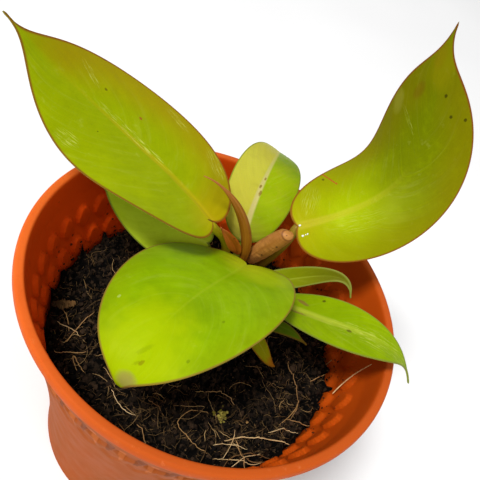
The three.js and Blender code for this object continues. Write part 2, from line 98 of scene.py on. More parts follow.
def turns(count: int) -> Array:
    """Angles of points set evenly round a circle."""
    return np.arange(count) * FULL_TURN / count


def signed(angle: Array) -> Array:
    """Angles brought to within half a turn of zero."""
    return np.angle(np.exp(1j * angle))


def polar(reach: Array, angle: Array, z: Array) -> Array:
    """Points at a reach from the pot's axis, at an angle and a height."""
    return np.stack(np.broadcast_arrays(reach * np.cos(angle), reach * np.sin(angle), z), axis=-1)


def bezier(points: Points, t: Array) -> Array:
    """Points of a Bezier curve at shares t, by mixing neighbouring control points until one is left."""
    rows = np.repeat(np.asarray(points, float)[:, None, :], len(t), axis=1)
    while len(rows) > 1:
        rows = mix(rows[:-1], rows[1:], t[None, :, None])
    return rows[0]


def rounded(points: Points, rounds: int = 2) -> Array:
    """Line with its corners cut: each span keeps its points at a quarter and at three quarters."""
    line = np.asarray(points, float)
    for _ in range(rounds):
        near, far = mix(line[:-1], line[1:], 0.25), mix(line[:-1], line[1:], 0.75)
        cuts = np.stack([near, far], axis=1).reshape(-1, line.shape[1])
        line = np.concatenate([line[:1], cuts, line[-1:]])
    return line


def arc_lengths(line: Array) -> Array:
    """Length of the way to each point of a line."""
    return np.concatenate([[0.0], np.cumsum(np.linalg.norm(np.diff(line, axis=0), axis=1))])


def linear(colour: Colour) -> tuple[float, ...]:
    """Scene colour of a screen colour: three numbers from 0 to 255, and its gain where there is a fourth."""
    shares = np.array(colour[:3]) / 255.0
    scene = np.where(shares <= 0.04045, shares / 12.92, ((shares + 0.055) / 1.055) ** 2.4)
    gain = colour[3] if len(colour) > 3 else 1.0
    return tuple(min(1.0, float(value) * gain) for value in scene)


@dataclass
class LatticeNoise:
    """Smooth random field: seeded values on a lattice one unit apart, mixed smoothly between its corners."""

    seed: int
    size: int = 48
    table: Array = field(init=False)

    def __post_init__(self) -> None:
        """Draws the lattice values, from -1 to 1."""
        self.table = np.random.default_rng(self.seed).uniform(-1.0, 1.0, (self.size,) * 3)

    def at(self, points: Array) -> Array:
        """Value of the field at points, an array whose last axis is x, y, z."""
        cell = np.floor(points).astype(int)
        share = smooth(points - cell, 0.0, 1.0)
        total = np.zeros(points.shape[:-1])
        for corner in product((0, 1), repeat=3):
            weight = np.prod(np.where(np.array(corner) == 1, share, 1.0 - share), axis=-1)
            i, j, k = np.moveaxis((cell + np.array(corner)) % self.size, -1, 0)
            total += weight * self.table[i, j, k]
        return total

    def layers(self, points: Array, octaves: int = 4, gain: float = 0.5) -> Array:
        """Sum of the field at doubling frequency, each layer gain times as strong as the one before."""
        return sum(gain**octave * self.at(points * 2.0**octave + 7.3 * octave) for octave in range(octaves))


def flat3(x: Array, y: Array, scale: float) -> Array:
    """Points (x, y, 0) in units of scale, for a noise field."""
    return np.stack([x / scale, y / scale, np.zeros_like(x)], axis=-1)


def grid_quads(rows: int, columns: int, wrap: bool = False) -> Array:
    """Corners of the quads of a grid stored row by row; wrap joins its last column to its first."""
    i, j = np.meshgrid(np.arange(rows - 1), np.arange(columns if wrap else columns - 1), indexing="ij")
    i, j = i.ravel(), j.ravel()
    k = (j + 1) % columns
    here, above = i * columns, (i + 1) * columns
    return np.stack([here + j, here + k, above + k, above + j], axis=-1)


@dataclass
class Skin:
    """Surface points in millimetres with their quads, triangles and values for each point."""

    points: Array
    quads: Array = field(default_factory=lambda: np.zeros((0, 4), int))
    tris: Array = field(default_factory=lambda: np.zeros((0, 3), int))
    marks: dict[str, Array] = field(default_factory=dict)

    def welded(self, digits: int = 4) -> "Skin":
        """The skin with points at one place made one, and with the faces that vanish left out."""
        _, first, number = np.unique(
            np.round(self.points, digits), axis=0, return_index=True, return_inverse=True
        )
        quads, tris = number.ravel()[self.quads], number.ravel()[self.tris]
        repeat = quads == np.roll(quads, -1, axis=1)
        single = repeat.sum(axis=1) == 1
        tris = np.concatenate([tris, quads[single][~repeat[single]].reshape(-1, 3)])
        distinct = (tris != np.roll(tris, -1, axis=1)).all(axis=1)
        marks = {name: values[first] for name, values in self.marks.items()}
        return Skin(self.points[first], quads[~repeat.any(axis=1)], tris[distinct], marks)

    def outward(self) -> "Skin":
        """The skin with its faces turned out: the sum of their triple products is made positive."""
        halves = [self.tris, self.quads[:, [0, 1, 2]], self.quads[:, [0, 2, 3]]]
        a, b, c = np.moveaxis(self.points[np.concatenate(halves)], 1, 0)
        if np.einsum("ij,ij->", a, np.cross(b, c)) < 0:
            return Skin(self.points, self.quads[:, ::-1], self.tris[:, ::-1], self.marks)
        return self


def joined(skins: Sequence[Skin]) -> Skin:
    """Several skins as one; a value that a skin doesn't have is 0 on it."""
    names = {name: values.shape[1:] for skin in skins for name, values in skin.marks.items()}
    starts = np.cumsum([0] + [len(skin.points) for skin in skins[:-1]])
    marks = {
        name: np.concatenate([s.marks.get(name, np.zeros((len(s.points), *shape))) for s in skins])
        for name, shape in names.items()
    }
    return Skin(
        np.concatenate([skin.points for skin in skins]),
        np.concatenate([skin.quads + start for skin, start in zip(skins, starts)]),
        np.concatenate([skin.tris + start for skin, start in zip(skins, starts)]),
        marks,
    )


def capped(rings: Array, first: Sequence[float], last: Sequence[float], **marks: Array) -> Skin:
    """Closed skin of rings of points that ends in one point on each side.

    Args:
        rings: Points with the shape (rings, sides, 3).
        first: The point that closes the first ring.
        last: The point that closes the last ring.
        marks: Values of all points by name, the two end points last.

    Returns:
        The skin with its faces turned out.
    """
    count, sides, _ = rings.shape
    here = np.arange(sides)
    after = (here + 1) % sides
    pole = np.full(sides, count * sides)
    foot = (count - 1) * sides
    fans = [np.stack([pole, after, here], axis=-1), np.stack([pole + 1, foot + here, foot + after], axis=-1)]
    points = np.concatenate([rings.reshape(-1, 3), [first, last]])
    return Skin(points, grid_quads(count, sides, True), np.concatenate(fans), marks).outward()


def tube(
    centres: Array, radii: Array, sides: int, upright: Array, section: Optional[Callable] = None
) -> Skin:
    """Closed tube: a section carried along a line of centres.

    A point is centre + radius * (cos(turn) * side + sin(turn) * up), where side is across the line and the
    upright direction, and the radius is multiplied by section(along, turn). Both ends close on their centre.

    Args:
        centres: The line, one row for each station.
        radii: Radius at each station.
        sides: Points round the section.
        upright: Direction that turn = a quarter points to.
        section: Gives the share of the radius for the share of the way and the turn.

    Returns:
        The tube with its shares along and round and its radius as the value "tube_place".
    """
    tangent = unit(np.gradient(centres, axis=0))
    side = unit(np.cross(tangent, np.broadcast_to(upright, centres.shape)))
    up = np.cross(side, tangent)
    along, around = np.meshgrid(np.linspace(0.0, 1.0, len(centres)), turns(sides), indexing="ij")
    reach = radii[:, None] * (section(along, around) if section else 1.0)
    spread = np.cos(around)[..., None] * side[:, None, :] + np.sin(around)[..., None] * up[:, None, :]
    place = np.stack([along, around / FULL_TURN, np.broadcast_to(reach, along.shape)], axis=-1)
    place = np.concatenate([place.reshape(-1, 3), [[0.0, 0.0, 0.0], [1.0, 0.0, 0.0]]])
    return capped(centres[:, None, :] + reach[..., None] * spread, centres[0], centres[-1], tube_place=place)


def threads(paths: Array, radii: Array, sides: int = 3) -> Skin:
    """Many thin closed tubes at once, each a ring of points carried along its own path.

    Args:
        paths: Centres with the shape (threads, stations, 3).
        radii: Radius with the shape (threads, stations).
        sides: Points round each thread.

    Returns:
        All of the threads, with one seeded-looking number for each as the value "thread_tone".
    """
    number, stations, _ = paths.shape
    tangent = unit(np.gradient(paths, axis=1))
    side = unit(np.cross(tangent, np.array([0.0, 0.11, 1.0])))
    up = np.cross(side, tangent)
    turn = turns(sides)[:, None]
    rings = paths[:, :, None, :] + radii[:, :, None, None] * (
        np.cos(turn) * side[:, :, None, :] + np.sin(turn) * up[:, :, None, :]
    )
    start = (np.arange(number) * stations * sides)[:, None, None]
    fan = np.array([[0, k + 1, k] for k in range(1, sides - 1)])
    ends = np.concatenate([fan, (stations - 1) * sides + fan[:, [0, 2, 1]]])
    quads = (grid_quads(stations, sides, True)[None] + start).reshape(-1, 4)
    tone = np.repeat((np.arange(number) * 0.61803) % 1.0, stations * sides)
    tris = (ends[None] + start).reshape(-1, 3)
    return Skin(rings.reshape(-1, 3), quads, tris, {"thread_tone": tone}).outward()


def placed(name: str, data: bpy.types.ID) -> bpy.types.Object:
    """A new object in the scene, at the origin."""
    made = bpy.data.objects.new(name, data)
    bpy.context.scene.collection.objects.link(made)
    return made


def write_piece(
    name: str, skin: Skin, material: bpy.types.Material, replaces: Sequence[str] = (),
    crease_degrees: float = 180.0,
) -> None:
    """Writes a skin as a piece of the object, in its finish, riding on the pot.

    Args:
        name: Name of the piece.
        skin: Its surface in millimetres.
        material: Its finish.
        replaces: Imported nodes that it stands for.
        crease_degrees: Edges that turn more than this stay sharp.
    """
    mesh = bpy.data.meshes.new(name)
    corners = np.concatenate([skin.quads.ravel(), skin.tris.ravel()]).astype(np.int32)
    counts = np.repeat([4, 3], [len(skin.quads), len(skin.tris)])
    mesh.vertices.add(len(skin.points))
    mesh.vertices.foreach_set("co", (skin.points * MM).astype(np.float32).ravel())
    mesh.loops.add(len(corners))
    mesh.loops.foreach_set("vertex_index", corners)
    mesh.polygons.add(len(counts))
    mesh.polygons.foreach_set("loop_start", (np.cumsum(counts) - counts).astype(np.int32))
    mesh.polygons.foreach_set("use_smooth", np.ones(len(counts), bool))
    mesh.update(calc_edges=True)
    mesh.validate()
    for label, values in skin.marks.items():
        kind, key = ("FLOAT_VECTOR", "vector") if values.ndim == 2 else ("FLOAT", "value")
        mesh.attributes.new(label, kind, "POINT").data.foreach_set(key, values.astype(np.float32).ravel())
    if crease_degrees < 180.0:
        mesh.set_sharp_from_angle(angle=math.radians(crease_degrees))
    mesh.materials.append(material)
    piece = placed(name, mesh)
    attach(piece, BODY)
    if replaces:
        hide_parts(*replaces)
    LOG.info("%-24s %7d triangles", name, 2 * len(skin.quads) + len(skin.tris))


@dataclass(frozen=True)
class Wire:
    """A value in a material; arithmetic with it adds the node that works it out."""

    graph: "Graph"
    socket: bpy.types.NodeSocket

    def __add__(self, other: "Source") -> "Wire":
        """Sum."""
        return self.graph.math("ADD", self, other)

    def __sub__(self, other: "Source") -> "Wire":
        """Difference."""
        return self.graph.math("SUBTRACT", self, other)

    def __mul__(self, other: "Source") -> "Wire":
        """Product."""
        return self.graph.math("MULTIPLY", self, other)


Source = Union[Wire, float, Sequence[float]]


@dataclass
class Graph:
    """Short calls that build the nodes of one material."""

    name: str
    material: bpy.types.Material = field(init=False)
    place: Wire = field(init=False)

    def __post_init__(self) -> None:
        """Makes the empty material and its object coordinates, in metres."""
        self.material = bpy.data.materials.new(self.name)
        self.material.use_nodes = True
        self.material.node_tree.nodes.clear()
        self.place = self.node("TexCoord", {}, "Object")

    def feed(self, socket: bpy.types.NodeSocket, source: Source) -> None:
        """Links a socket to a wire, or sets its value; a colour of three numbers is made opaque."""
        if isinstance(source, Wire):
            self.material.node_tree.links.new(source.socket, socket)
        elif socket.type == "RGBA":
            socket.default_value = (*source[:3], 1.0)
        else:
            socket.default_value = source

    def node(self, kind: str, fed: Mapping, output: Union[int, str] = 0, **settings: object) -> Wire:
        """Adds a node.

        Args:
            kind: Its kind, without the usual first words.
            fed: What feeds its inputs, by their name or number.
            output: The output that is wanted.
            settings: Its settings.

        Returns:
            The wire from the output.
        """
        made = self.material.node_tree.nodes.new(f"ShaderNode{kind}")
        for key, value in settings.items():
            setattr(made, key, value)
        for key, source in fed.items():
            self.feed(made.inputs[key], source)
        return Wire(self, made.outputs[output])

    def parts(self, vector: Wire) -> list[Wire]:
        """The three values of a vector."""
        split = self.node("SeparateXYZ", {0: vector}).socket.node
        return [Wire(self, socket) for socket in split.outputs]

    def mark(self, label: str) -> list[Wire]:
        """The three values of a named vector of the mesh."""
        return self.parts(self.node("Attribute", {}, "Vector", attribute_name=label))

    def number(self, label: str) -> Wire:
        """A named number of the mesh."""
        return self.node("Attribute", {}, "Fac", attribute_name=label)

    def vector(self, x: Source, y: Source, z: Source) -> Wire:
        """A vector of three values."""
        return self.node("CombineXYZ", {0: x, 1: y, 2: z})

    def math(self, operation: str, a: Source, b: Source = 0.0) -> Wire:
        """Result of an arithmetic operation."""
        return self.node("Math", {0: a, 1: b}, operation=operation)

    def step(self, value: Source, low: float, high: float, start: float = 0.0, end: float = 1.0) -> Wire:
        """Smooth step of a value: start at low and end at high."""
        fed = dict(enumerate((value, low, high, start, end)))
        return self.node("MapRange", fed, interpolation_type="SMOOTHSTEP")

    def blend(self, share: Source, a: Union[Wire, Colour], b: Union[Wire, Colour]) -> Wire:
        """Colour a with share of colour b, each a wire or a screen colour."""
        a, b = (paint if isinstance(paint, Wire) else linear(paint) for paint in (a, b))
        return self.node("Mix", {0: share, 6: a, 7: b}, 2, data_type="RGBA")

    def stain(
        self,
        colour: Union[Wire, Colour],
        other: Colour,
        value: Source,
        low: float,
        high: float,
        strength: float = 1.0,
    ) -> Wire:
        """The colour with the other one over it: none at a low value, and up to strength at a high one."""
        return self.blend(self.step(value, low, high, 0.0, strength), colour, other)

    def noise(self, where: Wire, scale: float, detail: float = 3.0, roughness: float = 0.5) -> Wire:
        """Cloudy noise from 0 to 1 at a scale for each unit."""
        fed = {"Vector": where, "Scale": scale, "Detail": detail, "Roughness": roughness}
        return self.node("TexNoise", fed)

    def specks(self, scale: float, size: float, share: float) -> Wire:
        """Round specks: near the middle of a cell, in the given share of the cells."""
        cells = self.node("TexVoronoi", {"Vector": self.place, "Scale": scale})
        draw = self.node("SeparateColor", {0: Wire(self, cells.socket.node.outputs[1])})
        return self.step(cells, size, size * 0.55) * self.math("LESS_THAN", draw, share)

    def bump(self, height: Wire, strength: float, depth_mm: float) -> Wire:
        """Surface normal tilted by a height map that is depth_mm deep."""
        return self.node("Bump", {"Strength": strength, "Distance": depth_mm * MM, "Height": height})

    def finish(
        self, colour: Wire, rough: Wire, normal: Optional[Wire] = None, **fixed: Source
    ) -> bpy.types.Material:
        """Closes the graph with a principled surface.

        Args:
            colour: Base colour.
            rough: Roughness.
            normal: Surface normal.
            fixed: Other sockets by name, with _ for a space, each set to a fixed value.

        Returns:
            The material.
        """
        fed = {key.replace("_", " "): value for key, value in fixed.items()}
        if normal is not None:
            fed["Normal"] = normal
        surface = self.node("BsdfPrincipled", {"Base Color": colour, "Roughness": rough, **fed})
        output = self.material.node_tree.nodes.new("ShaderNodeOutputMaterial")
        self.feed(output.inputs["Surface"], surface)
        return self.material


@dataclass(frozen=True)
class Patch:
    """An ellipse in flat leaf millimetres: its middle, its half axes and its turn."""

    along: float
    across: float
    half_length: float
    half_width: float
    turn_degrees: float

    def span(self, g: Graph, s: Wire, q: Wire) -> tuple[Wire, Wire, Wire]:
        """Squared distance from the middle in half axes, and the places along and across the ellipse."""
        cos, sin = math.cos(math.radians(self.turn_degrees)), math.sin(math.radians(self.turn_degrees))
        ds, dq = s - self.along, q - self.across
        u, v = ds * cos + dq * sin, dq * cos - ds * sin
        far, wide = u * (1.0 / self.half_length), v * (1.0 / self.half_width)
        return far * far + wide * wide, u, v


@dataclass(frozen=True)
class BlemishOrPaintedLight(Patch):
    """A scar, spot or soft patch on a blade; a few soft patches are painted light or painted shade."""

    colour: Colour
    strength: float = 0.8
    soft: bool = False


@dataclass(frozen=True)
class PaintedGlint(Patch):
    """A patch of fine pale broken streaks: a painted highlight, light glinting on fine wrinkles."""

    strength: float = 0.6
    fineness: float = 2.2


@dataclass(frozen=True)
class LeafFinish:
    """Waxy leaf: two greens in clouds, a paler midrib, a thin dark margin and a blush near one edge, with
    painted glint highlights and a few patches of painted light.
    """

    base: Colour
    light: Colour
    rib: Colour
    margin: Colour
    glow: Colour
    rib_half_mm: float
    rib_strength: float = 0.75
    rib_fade: tuple[float, float] = (0.92, 0.35)
    blush: Colour = (140, 112, 10)
    blush_side: float = 0.0
    blush_strength: float = 0.0
    blush_reach_mm: float = 14.0
    far: Optional[Colour] = None
    far_reach: tuple[float, float] = (0.12, 0.5)
    second_half: Optional[Colour] = None
    light_second: Optional[Colour] = None
    # pale flecks and streaks of the leaf itself, and the colour of the painted glint highlights
    pale_fleck_and_glint: Colour = (204, 208, 96)
    back: Colour = (150, 168, 66)
    dot: Colour = (48, 42, 8)
    vein_strength: float = 0.05
    margin_mm: float = 0.5
    speck_share: float = 0.16
    mottling: float = 0.12
    roughness: float = 0.46
    painted_glints: tuple[PaintedGlint, ...] = ()
    blemishes_and_painted_light: tuple[BlemishOrPaintedLight, ...] = ()

    def _spots(self, g: Graph, colour: Wire, s: Wire, q: Wire) -> Wire:
        """Lays each patch of painted glint streaks and each blemish or patch of painted light or shade on the
        colour, inside its turned and ragged ellipse.
        """
        for glint in self.painted_glints:
            span, run, side = glint.span(g, s, q)
            streaks = g.noise(g.vector(run * 0.22, side * glint.fineness, 4.0), 1.0, 4.0, 0.62)
            broken = g.step(g.noise(g.place, 420.0, 2.0, 0.6), 0.3, 0.55, 0.35)
            inside = g.step(span, 1.0, 0.15, 0.0, glint.strength)
            colour = g.blend(g.step(streaks, 0.47, 0.66) * broken * inside, colour, self.pale_fleck_and_glint)
        for spot in self.blemishes_and_painted_light:
            scale, depth, start, full = (150.0, 0.9, 1.75, 0.55) if spot.soft else (1400.0, 1.6, 2.05, 1.15)
            ragged = g.noise(g.place, scale, 2.0) * depth + spot.span(g, s, q)[0]
            colour = g.stain(colour, spot.colour, ragged, start, full, spot.strength)
        return colour

    def _ground(self, g: Graph, along: Wire, across: Wire) -> Wire:
        """The two greens in clouds, the darker tone further out, the second half's tones and mottling."""
        clouds = g.step(g.noise(g.place, 34.0, 3.0, 0.55), 0.36, 0.66)
        colour = g.blend(clouds, self.base, self.light)
        if self.far is not None:
            colour = g.stain(colour, self.far, clouds * 0.06 + along, *self.far_reach)
        if self.second_half is not None:
            half = g.step(clouds * 0.1 + across, -0.03, 0.15)
            colour = g.blend(half, colour, g.blend(clouds, self.second_half, self.light_second))
        flecks = g.noise(g.place, 210.0, 5.0, 0.72)
        colour = g.stain(colour, (*self.base, 0.72), flecks, 0.46, 0.72, 2.2 * self.mottling)
        return g.stain(colour, self.pale_fleck_and_glint, flecks, 0.42, 0.24, self.mottling)

    def build(self, name: str) -> bpy.types.Material:
        """Makes the material from the blade's own values: place, reach and flat millimetres."""
        g = Graph(name)
        along, across, under = g.mark("leaf_place")
        edge, rib, vein = g.mark("leaf_reach")
        s, q, _ = g.mark("leaf_flat")
        colour = self._ground(g, along, across)
        streaks = g.noise(g.vector(vein * 46.0, rib * 0.07, across), 1.0, 4.0, 0.6)
        colour = g.stain(colour, (*self.base, 0.66), streaks, 0.42, 0.72, 0.12)
        colour = g.stain(colour, self.pale_fleck_and_glint, streaks, 0.46, 0.28, 0.07)
        wave = g.math("PINGPONG", vein * 13.0 + streaks * 0.5, 0.5)
        lateral = g.step(wave, 0.05, 0.0) * g.step(edge, 0.5, 6.0)
        lines = g.math("PINGPONG", vein * 95.0 + streaks, 0.5) * 0.5 + lateral * 0.8
        colour = g.blend(lateral * self.vein_strength, colour, (*self.light, 1.3))
        if self.blush_strength:
            near = g.step(edge - g.noise(g.place, 60.0, 4.0) * 9.0, self.blush_reach_mm, -4.0)
            if self.blush_side:
                near = near * g.step(across * self.blush_side, -0.35, 0.3)
            colour = g.blend(near * g.step(along, 1.0, 0.76) * self.blush_strength, colour, self.blush)
        colour = g.stain(colour, self.glow, g.math("SQRT", s * s + q * q), 17.0, 2.0, 0.55)
        half_rib = along * (-0.8 * self.rib_half_mm) + self.rib_half_mm
        band = g.step(g.math("DIVIDE", rib, half_rib), 1.25, 0.45, 0.0, self.rib_strength)
        colour = g.blend(band * g.step(along, *self.rib_fade), colour, self.rib)
        colour = self._spots(g, colour, s, q)
        colour = g.blend(g.specks(135.0, 0.05, self.speck_share) * 0.75, colour, self.dot)
        colour = g.stain(colour, self.margin, edge, self.margin_mm * 1.5, self.margin_mm * 0.35, 0.85)
        colour = g.blend(under, colour, g.blend(0.45, colour, self.back))
        rough = g.step(g.noise(g.place, 90.0), 0.3, 0.7, self.roughness - 0.07, self.roughness + 0.08)
        normal = g.bump(g.noise(g.place, 2600.0, 2.0) * 0.25 + lines, 0.16, 0.12)
        return g.finish(
            colour, under * 0.14 + rough, normal, Specular_IOR_Level=0.1, Specular_Tint=(1.0, 0.95, 0.2),
            Subsurface_Weight=0.08, Subsurface_Radius=(0.35, 0.6, 0.01), Subsurface_Scale=0.0012,
        )


@dataclass(frozen=True)
class StalkFinish:
    """Fresh petiole: bronze or dull green at its foot, paler towards the blade, with fine long lines."""

    foot: Colour
    base: Colour
    light: Colour
    turn_from: float = 0.2
    turn_to: float = 0.53
    speck: Colour = (60, 40, 12)
    roughness: float = 0.42

    def build(self, name: str) -> bpy.types.Material:
        """Makes the material from the tube's shares along and round."""
        g = Graph(name)
        along, around, _ = g.mark("tube_place")
        lines = g.noise(g.vector(around * 60.0, along * 3.0, 0.0), 1.0)
        patches = g.noise(g.place, 160.0)
        upper = g.stain(self.base, self.light, lines, 0.3, 0.7)
        colour = g.blend(g.step(patches * 0.12 + along, self.turn_from, self.turn_to), self.foot, upper)
        colour = g.stain(colour, (*self.foot, 0.6), lines, 0.55, 0.8, 0.35)
        colour = g.blend(g.specks(420.0, 0.1, 0.3) * 0.5, colour, self.speck)
        rough = g.step(patches, 0.2, 0.8, self.roughness - 0.06, self.roughness + 0.1)
        return g.finish(
            colour, rough, g.bump(lines, 0.3, 0.12), Specular_IOR_Level=0.25, Subsurface_Weight=0.08,
            Subsurface_Radius=(0.4, 0.5, 0.05), Subsurface_Scale=0.0015,
        )


@dataclass(frozen=True)
class SheathFinish:
    """Papery dried leaf: brown with lengthwise fibres, cross wrinkles, dark spots and a paler rim or tip.

    A spot is given by its shares along and round and its radius, on a tube span_mm long and round.
    """

    base: Colour
    light: Colour
    tip: Colour
    cross_wrinkles: float
    tip_from: float
    lengthwise: float = 42.0
    tip_strength: float = 0.9
    roughness: float = 0.5
    relief: float = 0.35
    dark: Colour = (58, 30, 14)
    speck: Colour = (26, 14, 6)
    spot: Colour = (40, 22, 10)
    hood_line: float = 0.0
    hood_sway: float = 0.06
    spots: tuple[tuple[float, float, float], ...] = ()
    span_mm: tuple[float, float] = (29.0, 22.0)

    def build(self, name: str, label: str = "tube_place") -> bpy.types.Material:
        """Makes the material from the shares along and round in the named value."""
        g = Graph(name)
        along, around, _ = g.mark(label)
        fibres = g.noise(g.vector(around * self.lengthwise, along * 2.4, 0.0), 1.0, 4.0, 0.6)
        folds = g.noise(g.vector(around * 5.0, along * 38.0, 3.0), 1.0, 3.0, 0.55)
        colour = g.stain(self.base, self.light, fibres, 0.32, 0.68)
        colour = g.stain(colour, self.dark, folds, 0.52, 0.78, self.cross_wrinkles)
        colour = g.stain(colour, self.dark, g.noise(g.place, 210.0, 4.0), 0.55, 0.75, 0.45)
        colour = g.stain(colour, self.tip, along, self.tip_from, 1.0, self.tip_strength)
        colour = g.blend(g.specks(260.0, 0.16, 0.16) * 0.85, colour, self.speck)
        if self.hood_line:
            swing = g.math("SINE", around * FULL_TURN)
            off = swing * self.hood_sway + along - self.hood_line
            colour = g.stain(colour, self.light, off, 0.0, 0.03, 0.55)
            colour = g.stain(colour, self.dark, g.math("ABSOLUTE", off), 0.016, 0.006, 0.6)
        for middle, turn, radius in self.spots:
            run = (along - middle) * (self.span_mm[0] / radius)
            side = (around - turn) * (self.span_mm[1] / radius)
            ragged = g.noise(g.place, 1400.0, 2.0) * 0.8 + run * run + side * side
            colour = g.stain(colour, self.spot, ragged, 1.6, 0.7, 0.9)
        normal = g.bump(folds * self.cross_wrinkles + fibres, self.relief, 0.2)
        rough = g.step(fibres, 0.2, 0.8, self.roughness - 0.08, self.roughness + 0.14)
        return g.finish(colour, rough, normal, Specular_IOR_Level=0.28)


@dataclass(frozen=True)
class PlasticFinish:
    """Moulded orange plastic: faint flow streaks, a matt outside, scuffs on the lip, soil specks inside, with
    painted shade towards +x, painted bounce light inside and painted shadows and highlights on the outer
    dents.
    """

    base: Colour = (218, 96, 32)
    light: Colour = (226, 104, 38)
    deep: Colour = (186, 66, 14)
    # painted bounce light: the inside is a more saturated orange than the outside, and the left inside wall
    # is redder and brighter still
    inner: Colour = (196, 78, 10)
    left_painted_bounce: Colour = (222, 68, 0)
    outer_dull: Colour = (160, 80, 30)
    dirt: Colour = (60, 34, 20)
    # painted shade: the darker orange of the side away from the lamp
    right_painted_shade: Colour = (180, 78, 24)
    # painted shadow and painted highlight of the outer dents
    dent_painted_shadow: Colour = (118, 58, 26)
    dent_painted_highlight: Colour = (196, 108, 54)
    scuffed: Colour = (250, 158, 98)
    roughness: float = 0.55

    def build(self, name: str) -> bpy.types.Material:
        """Makes the material from the wall's value: height, outside share, lip share."""
        g = Graph(name)
        height, outside, lip = g.mark("pot_place")
        x, _, _ = g.parts(g.place)
        tone = g.number("pot_dent_painted_light")
        below_lip = lip * -1.0 + 1.0
        inside = (outside * -1.0 + 1.0) * below_lip
        colour = g.stain(self.base, self.light, g.noise(g.place, 22.0, 4.0, 0.6), 0.3, 0.7)
        grain = g.noise(g.place, 900.0, 3.0, 0.6)
        colour = g.stain(colour, self.deep, grain, 0.45, 0.8, 0.18)
        # painted shade: the pot darkens towards +x, away from the lamp on the left
        colour = g.stain(colour, self.right_painted_shade, x, -0.068, 0.01, 0.85)
        # painted bounce light inside the pot, strongest on the left inside wall, which the lamp doesn't reach
        colour = g.blend(inside * 0.9, colour, g.stain(self.inner, self.left_painted_bounce, x, 0.02, -0.045))
        # the outside below the lip turns a duller, darker orange in clouds
        outer_clouds = g.step(g.noise(g.place, 38.0, 4.0, 0.6), 0.25, 0.75, 0.82)
        colour = g.blend(outside * below_lip * outer_clouds, colour, self.outer_dull)
        flow = g.noise(g.vector(height * 0.02, g.place, 0.0), 1.0)
        colour = g.stain(colour, self.deep, flow, 0.5, 0.8, 0.04)
        # painted shadow in a corner of each outer dent and a painted highlight on its lit edge
        colour = g.stain(colour, self.dent_painted_shadow, tone, -0.1, -0.8, 0.75)
        colour = g.stain(colour, self.dent_painted_highlight, tone, 0.1, 0.8, 0.7)
        splash = g.specks(240.0, 0.2, 0.3) * g.step(height, 124.0, 98.0) * inside
        smear = g.step(g.noise(g.place, 150.0, 5.0, 0.7), 0.62, 0.78, 0.0, 0.8)
        smear = smear * g.step(height, 112.0, 94.0) * inside
        fleck = g.specks(95.0, 0.05, 0.16) * 0.8
        colour = g.blend(g.math("MAXIMUM", g.math("MAXIMUM", splash, smear), fleck), colour, self.dirt)
        scuff = lip * g.step(g.noise(g.place, 320.0, 4.0, 0.7), 0.6, 0.76, 0.0, 0.16)
        colour = g.blend(scuff, colour, self.scuffed)
        cloud = g.noise(g.place, 130.0, 4.0)
        rough = g.step(cloud, 0.25, 0.75, self.roughness - 0.06, self.roughness + 0.12)
        return g.finish(
            colour, outside * 0.12 + rough, g.bump(grain, 0.12, 0.1), Specular_IOR_Level=0.1,
            Specular_Tint=(1.0, 0.72, 0.5), Subsurface_Weight=0.06, Subsurface_Radius=(1.0, 0.25, 0.02),
            Subsurface_Scale=0.0015,
        )


@dataclass(frozen=True)
class SoilFinish:
    """Damp peat: near-black crumbs with brown patches and a few tan grains, and painted shade: near-black in
    the low gaps between crumbs, browner on their tops.
    """

    dark: Colour = (6, 5, 4)
    brown: Colour = (40, 31, 22)
    tan: Colour = (128, 100, 66)
    tan_share: float = 0.035
    roughness: float = 0.95

    def build(self, name: str) -> bpy.types.Material:
        """Makes the material from object coordinates at three scales, and paints shade from the crumbs'
        height.
        """
        g = Graph(name)
        broad = g.noise(g.place, 45.0, 3.0, 0.6)
        grains = g.noise(g.place, 700.0, 4.0, 0.7)
        # painted shade: near-black in the low gaps, browner where the crumbs stand high
        painted_crumb_shade = g.step(g.number("soil_lift"), 0.1, 0.9, -0.16, 0.12)
        colour = g.stain(self.dark, self.brown, broad * 0.4 + grains * 0.6 + painted_crumb_shade, 0.44, 0.66, 0.9)
        colour = g.blend(g.specks(620.0, 0.28, self.tan_share) * 0.7, colour, self.tan)
        rough = g.step(broad, 0.3, 0.7, self.roughness, self.roughness - 0.08)
        return g.finish(colour, rough, g.bump(grains, 0.9, 0.8), Specular_IOR_Level=0.08)


@dataclass(frozen=True)
class FibreFinish:
    """Dry plant fibre: each thread has its own tone between two colours, darker in patches."""

    dark: Colour
    light: Colour
    roughness: float = 0.8

    def build(self, name: str) -> bpy.types.Material:
        """Makes the material from each thread's own tone."""
        g = Graph(name)
        stains = g.noise(g.place, 380.0, 3.0, 0.6)
        colour = g.stain(self.dark, self.light, g.number("thread_tone"), 0.0, 1.0)
        colour = g.stain(colour, self.dark, stains, 0.45, 0.75, 0.6)
        rough = g.step(stains, 0.2, 0.8, self.roughness - 0.1, self.roughness + 0.1)
        return g.finish(colour, rough, g.bump(stains, 0.4, 0.1), Specular_IOR_Level=0.15)


@dataclass(frozen=True)
class WaterFinish:
    """Water painted near-white as a painted highlight: smooth, with a faint cloud, and letting a little light
    through.
    """

    # near-white: a painted highlight, so that the drops show as bright specks
    clear: Colour = (255, 255, 250)
    painted_glint_cloud: Colour = (250, 252, 238)

    def build(self, name: str) -> bpy.types.Material:
        """Makes the material from object coordinates."""
        g = Graph(name)
        cloud = g.noise(g.place, 500.0, 2.0)
        tint = g.stain(self.clear, self.painted_glint_cloud, cloud, 0.3, 0.7)
        return g.finish(tint, g.step(cloud, 0.2, 0.8, 0.04, 0.12), Transmission_Weight=0.15, IOR=1.333)


